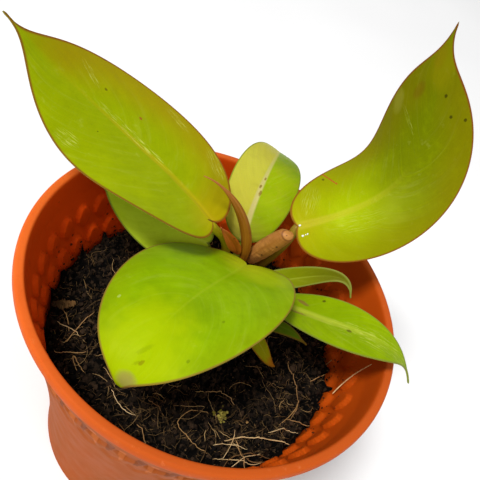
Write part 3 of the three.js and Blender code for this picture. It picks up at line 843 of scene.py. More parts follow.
@dataclass
class Blade:
    """Leaf blade: flat leaf coordinates laid on a bent midrib.

    s runs along the midrib and q sideways, in millimetres. The midrib is a Bezier curve walked by arc length
    and continued straight before its start; a second Bezier gives the direction that the blade faces.
    """

    midrib: Points
    face: Points
    half_width: float
    outline: Points
    swells: Points
    fold: float
    curl: tuple[float, float]
    min_half_width: float = 0.35
    half_thickness: float = 0.4
    base_power: float = 1.25
    samples: int = 400

    def __post_init__(self) -> None:
        """Measures the midrib's arc length."""
        self.shares = np.linspace(0.0, 1.0, self.samples + 1)
        self.arc = arc_lengths(bezier(self.midrib, self.shares))
        self.length = float(self.arc[-1])

    def frames(self, s: Array) -> tuple[Array, Array, Array, Array]:
        """Midrib share, place, side and normal directions at flat lengths s."""
        held = np.clip(s, 0.0, self.length)
        t = np.interp(held, self.arc, self.shares)
        tangent = unit(bezier(np.diff(np.asarray(self.midrib, float), axis=0), t))
        place = bezier(self.midrib, t) + tangent * (s - held)[:, None]
        side = unit(np.cross(tangent, bezier(self.face, t)))
        return t, place, side, np.cross(side, tangent)

    def surface(self, s: Array, q: Array) -> tuple[Array, Array]:
        """Points and unit normals of the middle of the blade at flat coordinates.

        A point is midrib + side * q cos(fold) + normal * lift, where lift is (sqrt(q^2 + 1) - 1) sin(fold)
        plus curl * q^2 / half width, and the curl goes from base to tip along the midrib.
        """
        t, place, side, normal = self.frames(s)
        curl = mix(self.curl[0], self.curl[1], t)
        ridge = np.sqrt(q * q + 1.0)
        lift = (ridge - 1.0) * math.sin(self.fold) + curl * q * q / self.half_width
        slope = (q / ridge * math.sin(self.fold) + 2.0 * curl * q / self.half_width) / math.cos(self.fold)
        points = place + side * (q * math.cos(self.fold))[:, None] + normal * lift[:, None]
        return points, unit(normal - side * slope[:, None])

    def margins(self, a: Array) -> tuple[Array, Array]:
        """Flat lengths and reaches of the two margins at shares a of the way round, first the +1 side."""
        outline = bezier(self.outline, a)
        swells = np.array([bezier([[v] for v in (0.0, *row, 0.0)], a)[:, 0] for row in self.swells])
        reach = np.maximum(outline[:, 1] * self.half_width + swells, self.min_half_width)
        return outline[:, 0] * self.length, np.where((a <= 0.0) | (a >= 1.0), 0.0, reach)

    def grid(self, rows: int, columns: int) -> list[Array]:
        """Shares a and b, flat coordinates s and q, and reach, from notch to tip and from margin to margin.

        Each row joins the midrib at length * a^1.25 with both margins at share a; s is mixed by |b| and q is
        b times the reach on its side.
        """
        a = np.linspace(0.0, 1.0, rows + 1)
        half = np.concatenate([np.linspace(0.0, 0.955, columns), [0.985, 1.0]])
        length_at, reach_at = self.margins(a)
        aa, bb = np.meshgrid(a, np.concatenate([-half[:0:-1], half]), indexing="ij")
        reach = np.where(bb > 0.0, reach_at[0][:, None], reach_at[1][:, None])
        s = mix(aa**self.base_power * self.length, length_at[:, None], np.abs(bb))
        return [values.ravel() for values in (aa, bb, s, bb * reach, reach)]

    def skin(self, rows: int, columns: int, sway_seed: int, relief: float = 1.0) -> Skin:
        """Closed thin blade with a channel on its midrib, faint swells between veins and thin margins."""
        a, b, s, q, reach = self.grid(rows, columns)
        points, normals = self.surface(s, q)
        count = len(a)
        vein = a - 0.24 * np.abs(b) ** 1.25
        inner = 1.0 - smooth(np.abs(b), 0.8, 1.0)
        sway = LatticeNoise(sway_seed).layers(flat3(s, q, 13.0), 3) * 0.3 * inner
        channel = -0.16 * hump(q, 0.55) * smooth(1.0 - a, 0.1, 0.7)
        quilt = 0.05 * np.cos(13.0 * FULL_TURN * vein) * smooth(np.abs(q), 0.5, 5.0) * inner
        middle = points + normals * ((sway + quilt) * relief)[:, None]
        half = self.half_thickness * (1.0 - 0.62 * np.abs(b) ** 5)
        faces = [middle + normals * (half + channel)[:, None], middle - normals * half[:, None]]
        index = np.arange(count).reshape(rows + 1, -1)
        quads = grid_quads(*index.shape)
        rim = np.concatenate([index[:-1, 0], index[:0:-1, -1]])
        after = np.concatenate([index[1:, 0], index[-2::-1, -1]])
        wall = np.stack([after, rim, rim + count, after + count], axis=-1)
        faced = [np.stack([a, b, np.full_like(a, under)], axis=-1) for under in (0.0, 1.0)]
        marks = {
            "leaf_place": np.concatenate(faced),
            "leaf_reach": np.tile(np.stack([(1.0 - np.abs(b)) * reach, np.abs(q), vein], axis=-1), (2, 1)),
            "leaf_flat": np.tile(np.stack([s, q, np.zeros_like(s)], axis=-1), (2, 1)),
        }
        every = np.concatenate([quads[:, ::-1], quads + count, wall])
        return Skin(np.concatenate(faces), every, marks=marks).welded().outward()


@dataclass
class Leaf:
    """A leaf: its blade, and the petiole that stands in the soil and runs on as the rib under the blade."""

    name: str
    slot: Slot
    seed: int
    rows: int
    columns: int
    stalk_finish: StalkFinish
    petiole: Points
    radii: tuple[float, float]
    blade: Blade
    finish: LeafFinish
    root_level: float = 93.0
    rib_share: float = 0.86
    rib_end_radius: float = 0.28
    stalk_stations: int = 36
    rib_stations: int = 44
    stalk_sides: int = 14

    def stalk_skin(self) -> Skin:
        """Tube up the petiole and under the blade.

        Its centre sinks by one radius below the midrib where the blade starts, and its radius falls with the
        share of the rib to the power 0.6.
        """
        t = np.linspace(0.0, 1.0, self.stalk_stations, endpoint=False)
        root = np.array([[self.petiole[0][0], self.petiole[0][1], self.root_level]])
        run = np.linspace(0.0, 1.0, self.rib_stations)
        _, place, _, normal = self.blade.frames(self.rib_share * run * self.blade.length)
        rib_radius = mix(self.radii[1], self.rib_end_radius, run**0.6)
        rise = bezier(self.petiole, t) - smooth(t, 0.72, 1.0)[:, None] * normal[0] * self.radii[1]
        centres = np.concatenate([root, rise, place - normal * rib_radius[:, None]])
        swell = 1.0 + 0.18 * hump(t - 0.97, 0.06) + 0.35 * hump(t, 0.16)
        rise_radius = mix(self.radii[0], self.radii[1], t) * swell
        radii = np.concatenate([[self.radii[0] * 1.3], rise_radius, rib_radius])
        return tube(centres, radii, self.stalk_sides, np.array([0.23, 0.97, 0.05]), self._section)

    @staticmethod
    def _section(along: Array, around: Array) -> Array:
        """Section share: a shallow channel on one side, 1 less 0.1 times a narrow hump of the turn."""
        return 1.0 - 0.1 * hump(signed(around - 0.25 * FULL_TURN), 0.5)

    def build(self) -> None:
        """Makes the blade and the petiole."""
        skin = self.blade.skin(self.rows, self.columns, self.seed)
        wax = self.finish.build(f"{self.name}_wax")
        write_piece(f"{self.name}_blade", skin, wax, [self.name], 50.0)
        stalk = self.stalk_finish.build(f"{self.name}_stalk")
        write_piece(f"{self.name}_petiole", self.stalk_skin(), stalk, [self.name])


GOLD_STALK = StalkFinish((140, 104, 10), (168, 156, 12), (182, 172, 24), 0.05, 0.53)
BRONZE_STALK = StalkFinish((116, 90, 12), (128, 102, 16), (152, 126, 30), 0.36, 0.53)
GREEN_STALK = StalkFinish((92, 84, 18), (96, 118, 18), (124, 146, 30))
YELLOW_STALK = StalkFinish((110, 96, 24), (140, 136, 24), (160, 150, 40))

SCAR_DOTS = tuple(
    BlemishOrPaintedLight(21.9 + 1.15 * step, -17.0 + 1.932 * step, 0.75, 0.5, 66, (168, 78, 30), 0.9)
    for step in (-1.75, -1.25, -0.7, -0.15, 0.35, 0.9, 1.5)
)

HALF_OUTLINE = [[0, 0], [-0.10, 0.10], [-0.10, 1.10], [0.35, 1.55], [0.75, 0.70], [0.92, 0.12], [1, 0]]

LEAVES = [
    Leaf(
        "leaf_left", Slot.GOLD, 11, 130, 30, GOLD_STALK,
        [[-5, 11, 103.6], [-4, 14, 114], [0.5, 29, 127], [-9, 14, 139], [-14, 8, 150]], (2.3, 1.7),
        Blade(
            [[-14, 8, 150], [-38, 11, 160], [-60, 17, 159], [-83, 16, 166], [-108, 5, 190]],
            [[0.35, -0.03, 0.94], [0.34, -0.12, 0.93], [0.30, -0.26, 0.92]], 26.7,
            [[0, 0], [-0.06, 0.16], [-0.10, 1.12], [0.50, 1.62], [0.87, 0.78], [0.80, 0.05], [1, 0]],
            [[0.7, -0.2, -0.1, 0.4, -2.1], [2.8, 2.7, 3.8, 2.8, -0.3]], 0.12, (0.14, -0.23),
        ),
        LeafFinish(
            (136, 152, 0), (146, 161, 0), (176, 152, 22), (122, 58, 22), (178, 160, 4), 2.0, 0.45,
            blush=(144, 126, 6), blush_side=1.0, blush_strength=0.85, blush_reach_mm=15.0, margin_mm=0.6,
            painted_glints=(
                PaintedGlint(44, 1.6, 22, 2, 1, 0.6, 1.9), PaintedGlint(61, -20.4, 6.5, 3.8, -2, 0.5, 2.6),
                PaintedGlint(16, 20.4, 9, 4.4, 26, 0.45, 2.8), PaintedGlint(71, 9.2, 6.8, 1.8, 22, 0.45, 2.6),
                PaintedGlint(38.5, 22.5, 7, 1.8, 8, 0.4, 2.6),
            ),
            blemishes_and_painted_light=(
                BlemishOrPaintedLight(63.4, 8.5, 0.7, 0.5, 0, (90, 84, 10)),
                BlemishOrPaintedLight(47.5, 10, 0.8, 0.6, 20, (142, 70, 30)),
                BlemishOrPaintedLight(70.7, 19.2, 0.8, 0.5, 10, (70, 50, 14)),
                BlemishOrPaintedLight(0.85, -0.55, 2.2, 0.45, -43, (84, 48, 22), 0.95),
            ),
        ),
    ),
    Leaf(
        "leaf_right", Slot.GOLD, 12, 130, 30, BRONZE_STALK,
        [[11.4, 18.6, 103.6], [5.5, 28, 118], [17.3, 20.5, 139], [16, 27, 153]], (2.2, 1.7),
        Blade(
            [[16, 27, 153], [49, 51, 171], [54, 66, 184], [38, 70, 202], [28, 67, 238]],
            [[-0.48, -0.77, 0.41], [-0.54, -0.69, 0.48], [-0.40, -0.71, 0.58]], 23.7,
            [[0, 0], [-0.02, 0.13], [-0.13, 1.12], [0.44, 1.54], [0.95, 0.74], [0.73, 0.13], [1, 0]],
            [[1.2, 0.9, -0.8, -1.9, -1.6], [0.5, 0.2, 0.9, 3.8, 2.7]], -0.03, (-0.19, -0.18),
        ),
        LeafFinish(
            (157, 175, 0), (165, 183, 0), (188, 174, 50), (126, 54, 22), (170, 166, 8), 2.0, 0.45,
            (0.6, 0.12), far=(106, 117, 0), far_reach=(0.24, 0.62), blush=(124, 108, 2),
            blush_strength=0.5, blush_reach_mm=11.0,
            painted_glints=(
                PaintedGlint(9, -10, 9, 5, -58, 0.35, 2.8), PaintedGlint(72.6, -9, 8, 1, -36, 0.4, 3.4),
                PaintedGlint(24, 6, 15, 5, 10, 0.22),
            ),
            blemishes_and_painted_light=(
                *SCAR_DOTS,
                BlemishOrPaintedLight(18.7, -17.8, 0.7, 0.6, 0, (80, 74, 10)),
                BlemishOrPaintedLight(85.6, 3.5, 0.9, 0.6, 0, (50, 44, 6)),
                BlemishOrPaintedLight(78, 7.3, 0.8, 0.6, 0, (50, 44, 6)), BlemishOrPaintedLight(77.8, 12.6, 0.8, 0.6, 0, (50, 44, 6)),
                BlemishOrPaintedLight(84.9, -7.2, 4.5, 2.2, 20, (116, 78, 14), 0.4, True),
                BlemishOrPaintedLight(100.2, -2.2, 6, 2.6, 0, (126, 92, 10), 0.45, True),
                BlemishOrPaintedLight(97, 0, 12, 5, 0, (136, 128, 4), 0.5, True),
                # painted sheen: a pale soft patch of reflected light
                BlemishOrPaintedLight(78.2, -15.2, 5.4, 2.4, 0, (158, 156, 60), 0.3, True),
            ),
        ),
    ),
    Leaf(
        "leaf_front", Slot.GOLD, 13, 130, 30, GREEN_STALK,
        [[4.5, 3.2, 103.6], [5, 4, 116], [5.5, 6, 127], [6, 10, 136]], (2.2, 1.6),
        Blade(
            [[6, 10, 136], [-2, -21, 151], [-18, -50, 153], [-10, -73, 131], [-12, -55, 129]],
            [[-0.29, -0.04, 0.96], [-0.31, -0.45, 0.83], [-0.08, -0.95, -0.30]], 29.6,
            [[0, 0], [-0.14, 0.13], [-0.12, 1.13], [0.49, 1.58], [1.01, 0.75], [0.74, 0.05], [1, 0]],
            [[0, -0.5, 0.2, 1.7, 0], [1.9, 2.2, 1.6, -0.2, -2.6]], 0.13, (-0.07, -0.07),
        ),
        LeafFinish(
            (118, 150, 0), (133, 166, 2), (152, 172, 30), (128, 92, 40), (184, 184, 30), 1.0, 0.35,
            blush_strength=0.12, blush_reach_mm=6.0,
            blemishes_and_painted_light=(
                # painted light: a bright soft patch over the down-curled tip, which is brightly lit
                BlemishOrPaintedLight(69, 0.5, 26, 19, 0, (170, 189, 0), 0.62, True),
                BlemishOrPaintedLight(6.5, -12, 11, 9, 60, (168, 182, 20), 0.5, True),
                # painted shade: a greyish patch on the very tip, where it curls under
                BlemishOrPaintedLight(76.6, -1.6, 3, 4.6, 0, (146, 134, 66), 0.85, True),
                BlemishOrPaintedLight(69.6, -2.7, 1.2, 0.8, 20, (128, 122, 4), 0.7),
                BlemishOrPaintedLight(61.2, -15.2, 0.8, 0.6, 0, (92, 110, 8), 0.5),
                BlemishOrPaintedLight(42.4, -14.9, 0.7, 0.5, 0, (92, 110, 8), 0.5),
                BlemishOrPaintedLight(56.8, 18.4, 0.8, 0.5, 0, (180, 196, 110), 0.45),
                BlemishOrPaintedLight(65.6, -0.8, 3.4, 1, 30, (120, 140, 4), 0.35),
                BlemishOrPaintedLight(70.4, -1.4, 1.6, 0.6, 40, (120, 130, 4), 0.4),
            ),
        ),
    ),
    Leaf(
        "leaf_back", Slot.GOLD, 14, 100, 24, GREEN_STALK,
        [[2, 21.5, 103.6], [1.5, 23, 112], [0, 24, 124], [0, 23, 133]], (2.0, 1.5),
        Blade(
            [[0, 23, 133], [-6, 32, 152], [-6, 48, 161], [-6, 69, 155], [-6, 87, 138]],
            [[0, -0.80, 0.59], [0.01, -0.51, 0.86], [0.12, 0.30, 0.95]], 16.2,
            [[0, 0], [0.03, 0.08], [-0.03, 1.09], [0.37, 1.55], [0.75, 0.70], [0.92, 0.12], [1, 0]],
            [[0.2, 0.6, 0.8, 0.6, 0.3], [-2.1, -1.5, -0.9, -0.5, -0.2]], 0.11, (-0.05, -0.05),
        ),
        LeafFinish(
            (180, 172, 54), (182, 178, 60), (190, 178, 112), (110, 120, 30), (150, 140, 52), 1.7, 0.9,
            second_half=(112, 140, 0), light_second=(140, 162, 0), speck_share=0.1,
            blemishes_and_painted_light=(
                BlemishOrPaintedLight(23.1, 0.7, 1.4, 0.7, 0, (120, 92, 20)),
                BlemishOrPaintedLight(26.2, -0.3, 1, 0.6, 0, (120, 92, 20)),
                BlemishOrPaintedLight(30.5, 0.3, 0.9, 0.5, 0, (126, 96, 30)),
            ),
        ),
    ),
    Leaf(
        "leaf_left_low", Slot.GREEN, 15, 90, 20, GREEN_STALK,
        [[-3.8, 17.8, 103.6], [-6.4, 18.8, 112], [-9.4, 19.4, 123], [-13, 16, 130]], (1.7, 1.3),
        Blade(
            [[-13, 16, 130], [-25, 11, 134], [-38, 8, 137], [-50, 8, 138], [-60, 10, 134]],
            [[0.10, -0.39, 0.91], [0.10, -0.39, 0.91], [0.10, -0.39, 0.92]], 14.7, HALF_OUTLINE,
            [[0, 0, 0, 0, 0.1], [0.7, 1.3, 1.8, 1.6, 0.9]], 0.08, (-0.07, -0.07),
        ),
        # painted light: greens brighter than the leaf's own, standing for the light that falls on it beside
        # the left leaf's shadow
        LeafFinish((174, 200, 26), (188, 212, 46), (190, 204, 70), (112, 120, 44), (170, 180, 40), 0.8, 0.5),
    ),
    Leaf(
        "leaf_right_small", Slot.GOLD, 16, 64, 12, GREEN_STALK,
        [[12.6, 14.4, 103.6], [12.8, 14, 112], [13, 13.4, 119], [14, 13.4, 126.5]], (1.3, 1.1),
        Blade(
            [[14, 13.4, 126.5], [26, 17, 136], [36, 20, 145], [44, 23, 151], [49, 16, 143]],
            [[-0.01, -0.59, 0.81]] * 3, 5.7, HALF_OUTLINE,
            [[-0.4, -0.8, -1.4, -1.7, -0.7], [0.3, 0.1, -0.6, -0.9, -0.1]], 0.31, (-0.05, -0.05),
        ),
        LeafFinish(
            (122, 136, 6), (142, 154, 10), (148, 158, 46), (124, 130, 54), (130, 138, 26), 0.7, 0.55,
            # far: painted shade, the blade darker towards its tip, which lies in shade
            far=(88, 88, 6), far_reach=(0.3, 0.85),
        ),
    ),
    Leaf(
        "leaf_right_low", Slot.GOLD, 17, 90, 20, GREEN_STALK,
        [[12.5, 10.6, 103.6], [13.5, 9.5, 114], [16, 8.2, 122], [20, 8, 127]], (1.6, 1.3),
        Blade(
            [[20, 8, 127], [40, -2, 142], [60, -3, 149], [75, 6, 147], [86, 3, 130]],
            [[0.27, 0.03, 0.96], [0.27, -0.08, 0.96], [0.24, -0.14, 0.96]], 13,
            [[0, 0], [-0.09, 0.09], [-0.06, 1.10], [0.42, 1.57], [0.78, 0.71], [0.78, 0.07], [1, 0]],
            [[-0.7, -0.3, 1.1, 1.0, -2.6], [0, 0.3, 0.2, -0.7, -2.5]], 0.16, (0.06, -0.06),
        ),
        LeafFinish(
            (124, 152, 0), (138, 164, 2), (180, 188, 60), (120, 126, 48), (126, 134, 24), 3.0, 0.55,
            painted_glints=(PaintedGlint(48, 0.5, 26, 5, 0, 0.4, 1.6),),
            blemishes_and_painted_light=(
                BlemishOrPaintedLight(15, -5.2, 3.6, 0.9, 14, (126, 92, 48), 0.75),
                BlemishOrPaintedLight(16.6, 1.9, 3.8, 0.8, -6, (130, 98, 52), 0.7),
                BlemishOrPaintedLight(23.1, -9.1, 0.9, 0.7, 0, (70, 60, 10)),
                BlemishOrPaintedLight(37.2, 1.5, 1.1, 0.8, 0, (84, 78, 14)),
            ),
        ),
    ),
    Leaf(
        "leaf_small_green", Slot.GREEN, 18, 60, 10, GREEN_STALK,
        [[11, 6, 103.6], [13, 5.5, 107], [17, 6, 111], [21, 7, 114]], (1.2, 1.0),
        Blade(
            [[21, 7, 114], [27, 6, 117], [33, 6, 120], [40, 6, 119], [45, 6, 116]],
            [[0.10, -0.40, 0.91]] * 3, 4.1, HALF_OUTLINE,
            [[-0.2, -0.4, -0.6, -0.5, -0.1], [-0.7, -1.1, -1.1, -0.9, -1.4]], 0.12, (-0.05, -0.05),
        ),
        LeafFinish(
            (82, 114, 8), (96, 128, 12), (112, 136, 40), (120, 100, 34), (90, 110, 16), 0.6,
            blemishes_and_painted_light=(BlemishOrPaintedLight(24, 0.3, 3.2, 2.2, 0, (128, 84, 30), 0.9, True),),
        ),
    ),
    Leaf(
        "leaf_small_yellow", Slot.YELLOW, 19, 60, 10, YELLOW_STALK,
        [[9, 2.6, 103.6], [11, 1, 107], [15, 1, 110], [19, 2, 111]], (1.1, 0.9),
        Blade(
            [[19, 2, 111], [24, 0, 112], [29, -3, 111], [33, -5, 108], [38, -3, 104]],
            [[0.11, -0.39, 0.91]] * 3, 4.1, HALF_OUTLINE,
            [[0, -0.1, -0.3, 0.1, 1.0], [0.1, -0.1, -0.6, -0.8, -0.3]], 0.12, (-0.05, -0.05),
        ),
        LeafFinish(
            (150, 160, 8), (168, 170, 16), (176, 172, 50), (160, 110, 30), (150, 150, 20), 0.5,
            blemishes_and_painted_light=(BlemishOrPaintedLight(20.5, 0, 5, 3.2, 0, (184, 118, 30), 0.9, True),),
        ),
    ),
]


@dataclass
class Pot:
    """Thin moulded pot: a flared wall with two rows of shield dents, a rolled lip and six drain holes."""

    finish: PlasticFinish
    around: int = 546
    wall: float = 2.2
    base_radius: float = 49.5
    floor_level: float = 3.0
    cells: int = 39
    cell_turn: float = 0.385
    row_levels: tuple[float, float] = (109.3, 96.3)
    inner_half_width: float = 4.7
    outer_half_width: float = 5.3
    cell_half_height: float = 7.2
    relief_depth: float = 1.8
    shoulder_radius: float = 74.0
    shoulder_level: float = 122.0
    lip: Points = (
        (75.64, 127.5), (76.6, 129.4), (77.5, 130.4), (77.5, 132.4), (76.9, 133.9), (75.4, 134.0),
        (73.9, 133.8), (73.3, 132.0), (72.6, 127.6), (72.1, 124.4),
    )
    holes: int = 6
    hole_circle: float = 36.0
    hole_radius: float = 3.5
    rays: int = 6
    spokes: int = 18

    def body_radius(self, z: Array) -> Array:
        """Outside radius of the plain wall: 51.5 + 22.5 (z / 122)^1.6."""
        return 51.5 + 22.5 * (np.asarray(z, float) / self.shoulder_level) ** 1.6

    def relief(self, angle: Array, z: Array, outside: bool = False) -> Array:
        """Depth of the dents: each shield falls in steeply at its round top and comes up to its point.

        The taper goes in a straight line to a point below the middle and as a round arch above it. The
        depth is a steep step of taper^2 - across^2, times a share that falls from the arch to the point.
        Every second row is half a cell further round. Outside, a shield is wider, with a straight top and
        crisp edges, and the lower row is shallow.
        """
        pitch = FULL_TURN / self.cells
        half_width = self.outer_half_width if outside else self.inner_half_width
        deepest = np.zeros(np.broadcast(angle, z).shape)
        for row, level in enumerate(self.row_levels):
            turn = angle / pitch - self.cell_turn + row * 0.5
            across = (turn - np.round(turn)) * pitch * self.shoulder_radius / half_width
            up = (z - level) / self.cell_half_height
            taper = np.maximum(1.0 + up, 0.0)
            if outside:
                inside = smooth(np.minimum(taper, 1.0) * (up < 1.0) - np.abs(across), 0.0, 0.3)
                slope = 0.35 if row else 0.7 - 0.3 * across
            else:
                taper = np.where(up < 0.0, taper, np.sqrt(np.maximum(0.0, 1.0 - up * up)))
                inside = smooth(taper**2 - across**2, 0.0, 0.22)
                slope = 0.3 + 0.7 * smooth(up, -1.0, 0.75)
            deepest = np.maximum(deepest, self.relief_depth * inside * slope)
        return deepest

    def tone(self, angle: Array, z: Array) -> Array:
        """Painted shadow (below 0) in a corner of each outer dent and painted highlight (above 0) on its lit
        edge, both three-cornered.

        With d the share of a cell past its right-hand side, the corner narrows from its left side to a
        point at d = 0.37, and the edge is a V with its point at d = 0.58.
        """
        d = np.mod(angle * self.cells / FULL_TURN - self.cell_turn - 0.27, 1.0)
        corner, vee = d / 0.37, (d - 0.43) / 0.25
        dark = smooth(z, 93.0 + 24.0 * corner, 97.0 + 21.0 * corner) * smooth(corner, -0.06, 0.04)
        dark = dark * smooth(z, 122.0 - 3.0 * corner, 120.5 - 3.0 * corner) * smooth(corner, 1.0, 0.75)
        foot = 92.0 + 36.0 * np.abs(vee - 0.6)
        pale = smooth(z, foot - 1.0, foot + 2.5) * smooth(z, 121.0, 117.0)
        return pale * smooth(vee, -0.06, 0.1) * smooth(vee, 1.06, 0.95) - dark

    def inner_radius(self, angle: Array, z: Array) -> Array:
        """Radius of the inner face, dents and all."""
        return self.body_radius(z) - self.wall - self.relief(angle, z)

    def _wall_skin(self) -> Skin:
        """Lathed wall from the foot up, over the lip and down to the floor inside."""
        fine = np.arange(88.5, 118.5, 0.7)
        plain = np.concatenate([np.linspace(1.2, 87.8, 16), fine, [119.5, 121.0, 122.5, 124.0, 126.0]])
        deep = np.linspace(87.6, self.floor_level, 14)
        down = np.concatenate([[122.0, 120.0], np.arange(118.4, 88.4, -0.7), deep])
        lip = rounded(self.lip)
        radius = [[self.base_radius], self.body_radius(plain), lip[:, 0], self.body_radius(down) - self.wall]
        level = np.concatenate([[0.0], plain, lip[:, 1], down])
        station = np.arange(len(level)) - 1 - len(plain)
        outside = smooth(station, len(lip) * 0.35, 2)
        on_lip = smooth(station, len(lip) * 0.72, len(lip) * 0.6) * (station >= 0)
        dented = ((station < 0) | (station >= len(lip)))[:, None]
        turn, height = np.meshgrid(turns(self.around), level)
        face = (outside > 0.5)[:, None]
        dents = np.where(face, self.relief(turn, height, True), self.relief(turn, height))
        points = polar(np.concatenate(radius)[:, None] - dented * dents, turn, height).reshape(-1, 3)
        place = np.repeat(np.stack([level, outside, on_lip], axis=-1), self.around, axis=0)
        # painted shadow and highlight of the outer dents, on the outside faces only
        tone = np.where(face, self.tone(turn, height), 0.0).ravel()
        quads = grid_quads(len(level), self.around, True)
        return Skin(points, quads, marks={"pot_place": place, "pot_dent_painted_light": tone})

    def _base_skin(self, sector: int) -> Skin:
        """A sixth of the base: rays from the drain hole's edge out to the sector's border, on both faces."""
        half = 0.5 * FULL_TURN / self.holes
        arc = np.linspace(-half, half, self.around // self.holes + 1)
        ins = np.linspace(1.0, 0.0, self.spokes)[1:, None]
        borders = []
        for reach in (self.base_radius, float(self.body_radius(self.floor_level)) - self.wall):
            rim = polar(reach, arc, 0.0)
            borders.append(np.concatenate([rim, ins * rim[-1], (ins * rim[0])[-2::-1]]))
        turn = np.arctan2(borders[0][:, 1], borders[0][:, 0] - self.hole_circle)
        hole = polar(self.hole_radius, turn, 0.0) + np.array([self.hole_circle, 0.0, 0.0])
        share = np.linspace(0.0, 1.0, self.rays)[:, None, None] ** 1.4
        faces = np.stack([mix(hole, border, share) for border in borders])
        faces[1, ..., 2] = self.floor_level
        points = faces.reshape(-1, 3)
        across = len(turn)
        count = self.rays * across
        quads = grid_quads(self.rays, across, True)
        ring = np.arange(across)
        after = (ring + 1) % across
        bore = np.stack([ring, ring + count, after + count, after], axis=-1)
        x, y, z = points.T
        points = polar(np.hypot(x, y), np.arctan2(y, x) + (2 * sector + 1) * half, z)
        place = np.stack([z, z < 1.0, np.zeros_like(z)], axis=-1)
        every = np.concatenate([quads, (quads + count)[:, ::-1], bore])
        return Skin(points, every, marks={"pot_place": place})

    def build(self) -> None:
        """Makes the pot."""
        sectors = [self._base_skin(sector) for sector in range(self.holes)]
        skin = joined([self._wall_skin(), *sectors]).welded(2).outward()
        write_piece("pot_shell", skin, self.finish.build("pot_plastic_orange"), ["pot"], 42.0)


EDGE_CLIMBS = (
    (-163.6, 5.5, 1.3), (-173.2, 4.0, 1.2), (-168.5, -1.5, 1.6), (178.6, -1.6, 2.0),
    (173.2, 9.0, 0.9), (168.0, -1.0, 1.5), (159.3, 8.0, 1.1), (156.0, 1.5, 1.2),
    (-156.8, -3.5, 2.2), (-20.0, 2.0, 2.0), (-48.0, 2.2, 1.6), (3.0, 2.4, 1.5),
)


@dataclass
class SoilBed:
    """Damp soil that fills the pot: a crumbly top with a ragged edge at the wall, and plain sides below."""

    pot: Pot
    finish: SoilFinish
    seed: int = 31
    around: int = 480
    rings: int = 150
    edge_gap: float = 0.32
    bottom: float = 3.3
    falls: tuple[float, ...] = (80.0, 66.0, 48.0, 30.0, 12.0, 3.3)

    def __post_init__(self) -> None:
        """Makes the noise field."""
        self.noise = LatticeNoise(self.seed)

    def base_height(self, x: Array, y: Array) -> Array:
        """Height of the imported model's soil: a low mound that rises to the right, with clods and grains."""
        r = np.hypot(x, y) / 66.0
        clods = np.sin(0.31 * x + 1.1 * np.sin(0.23 * y)) * np.cos(0.27 * y - 0.9 * np.sin(0.19 * x))
        grains = np.sin(0.83 * x + 0.4 * y + 2.0) * np.sin(0.71 * y - 0.5 * x + 1.0)
        return 96.0 + 3.0 * (1.0 - r * r) + 4.5 * x / 66.0 + 1.3 * clods + 0.7 * grains

    def lift(self, x: Array, y: Array) -> Array:
        """Height of the crumbs alone: folded noise, 0.5 - |noise|, at scales of 2.3 and 1.05 mm."""
        crumbs = (0.5 - np.abs(self.noise.at(flat3(x, y, 2.3)))) * 1.9
        return crumbs + (0.4 - np.abs(self.noise.at(flat3(x + 50.0, y, 1.05)))) * 1.4

    def height(self, x: Array, y: Array) -> Array:
        """Height of the fine surface: the mound, soft noise and the crumbs."""
        return self.base_height(x, y) + self.noise.layers(flat3(x, y, 6.5), 2) * 0.8 + self.lift(x, y) - 0.4

    def edge(self, angle: Array) -> tuple[Array, Array]:
        """Radius and height of the ragged edge, just clear of the wall's inner face.

        Its height is the mound's, less 2.2, plus noise round the wall and the climbs of the table.
        """
        ring = polar(14.0, angle, 0.0)
        jags = 1.5 * self.noise.layers(ring * 0.8 + 3.0, 4, 0.62)
        for middle, rise, width in EDGE_CLIMBS:
            jags = jags + rise * hump(np.degrees(signed(angle - math.radians(middle))), width)
        z = np.full_like(angle, 95.0)
        for _ in range(3):
            radius = self.pot.inner_radius(angle, z) - self.edge_gap
            z = self.base_height(radius * np.cos(angle), radius * np.sin(angle)) - 2.2 + jags
        return radius - 0.35 - 0.55 * np.abs(self.noise.layers(ring, 4)), z

    def build(self) -> None:
        """Makes the bed."""
        angle = turns(self.around)
        radius, level = self.edge(angle)
        share = np.linspace(0.02, 1.0, self.rings)[:, None] ** 0.72
        x, y = share * radius * np.cos(angle), share * radius * np.sin(angle)
        ragged = level + 0.6 * self.noise.layers(flat3(x, y, 2.0), 3)
        top = np.stack([x, y, mix(self.height(x, y), ragged, smooth(share, 0.965, 1.0))], axis=-1)
        falls = np.array(self.falls)[:, None]
        side = polar(self.pot.body_radius(falls) - self.pot.wall - 0.7, angle, falls)
        crown = float(self.height(np.zeros(1), np.zeros(1))[0])
        lift = np.concatenate([self.lift(x, y).ravel(), np.zeros(side.size // 3 + 2)])
        rings = np.concatenate([top, side])
        skin = capped(rings, [0.0, 0.0, crown], [0.0, 0.0, self.bottom], soil_lift=lift)
        write_piece("soil_bed", skin, self.finish.build("soil_peat"), ["soil"], 60.0)


ICOSAHEDRON = np.array([
    [0, 1, 1.618], [0, -1, 1.618], [0, 1, -1.618], [0, -1, -1.618], [1, 1.618, 0], [-1, 1.618, 0],
    [1, -1.618, 0], [-1, -1.618, 0], [1.618, 0, 1], [-1.618, 0, 1], [1.618, 0, -1], [-1.618, 0, -1],
]) / 1.902
ICOSAHEDRON_FACES = np.array([
    [0, 1, 8], [0, 9, 1], [0, 4, 5], [0, 8, 4], [0, 5, 9], [1, 6, 8], [1, 7, 6], [1, 9, 7], [2, 3, 11],
    [2, 10, 3], [2, 5, 4], [2, 4, 10], [2, 11, 5], [3, 6, 7], [3, 10, 6], [3, 7, 11], [4, 8, 10],
    [5, 11, 9], [6, 10, 8], [7, 9, 11],
])


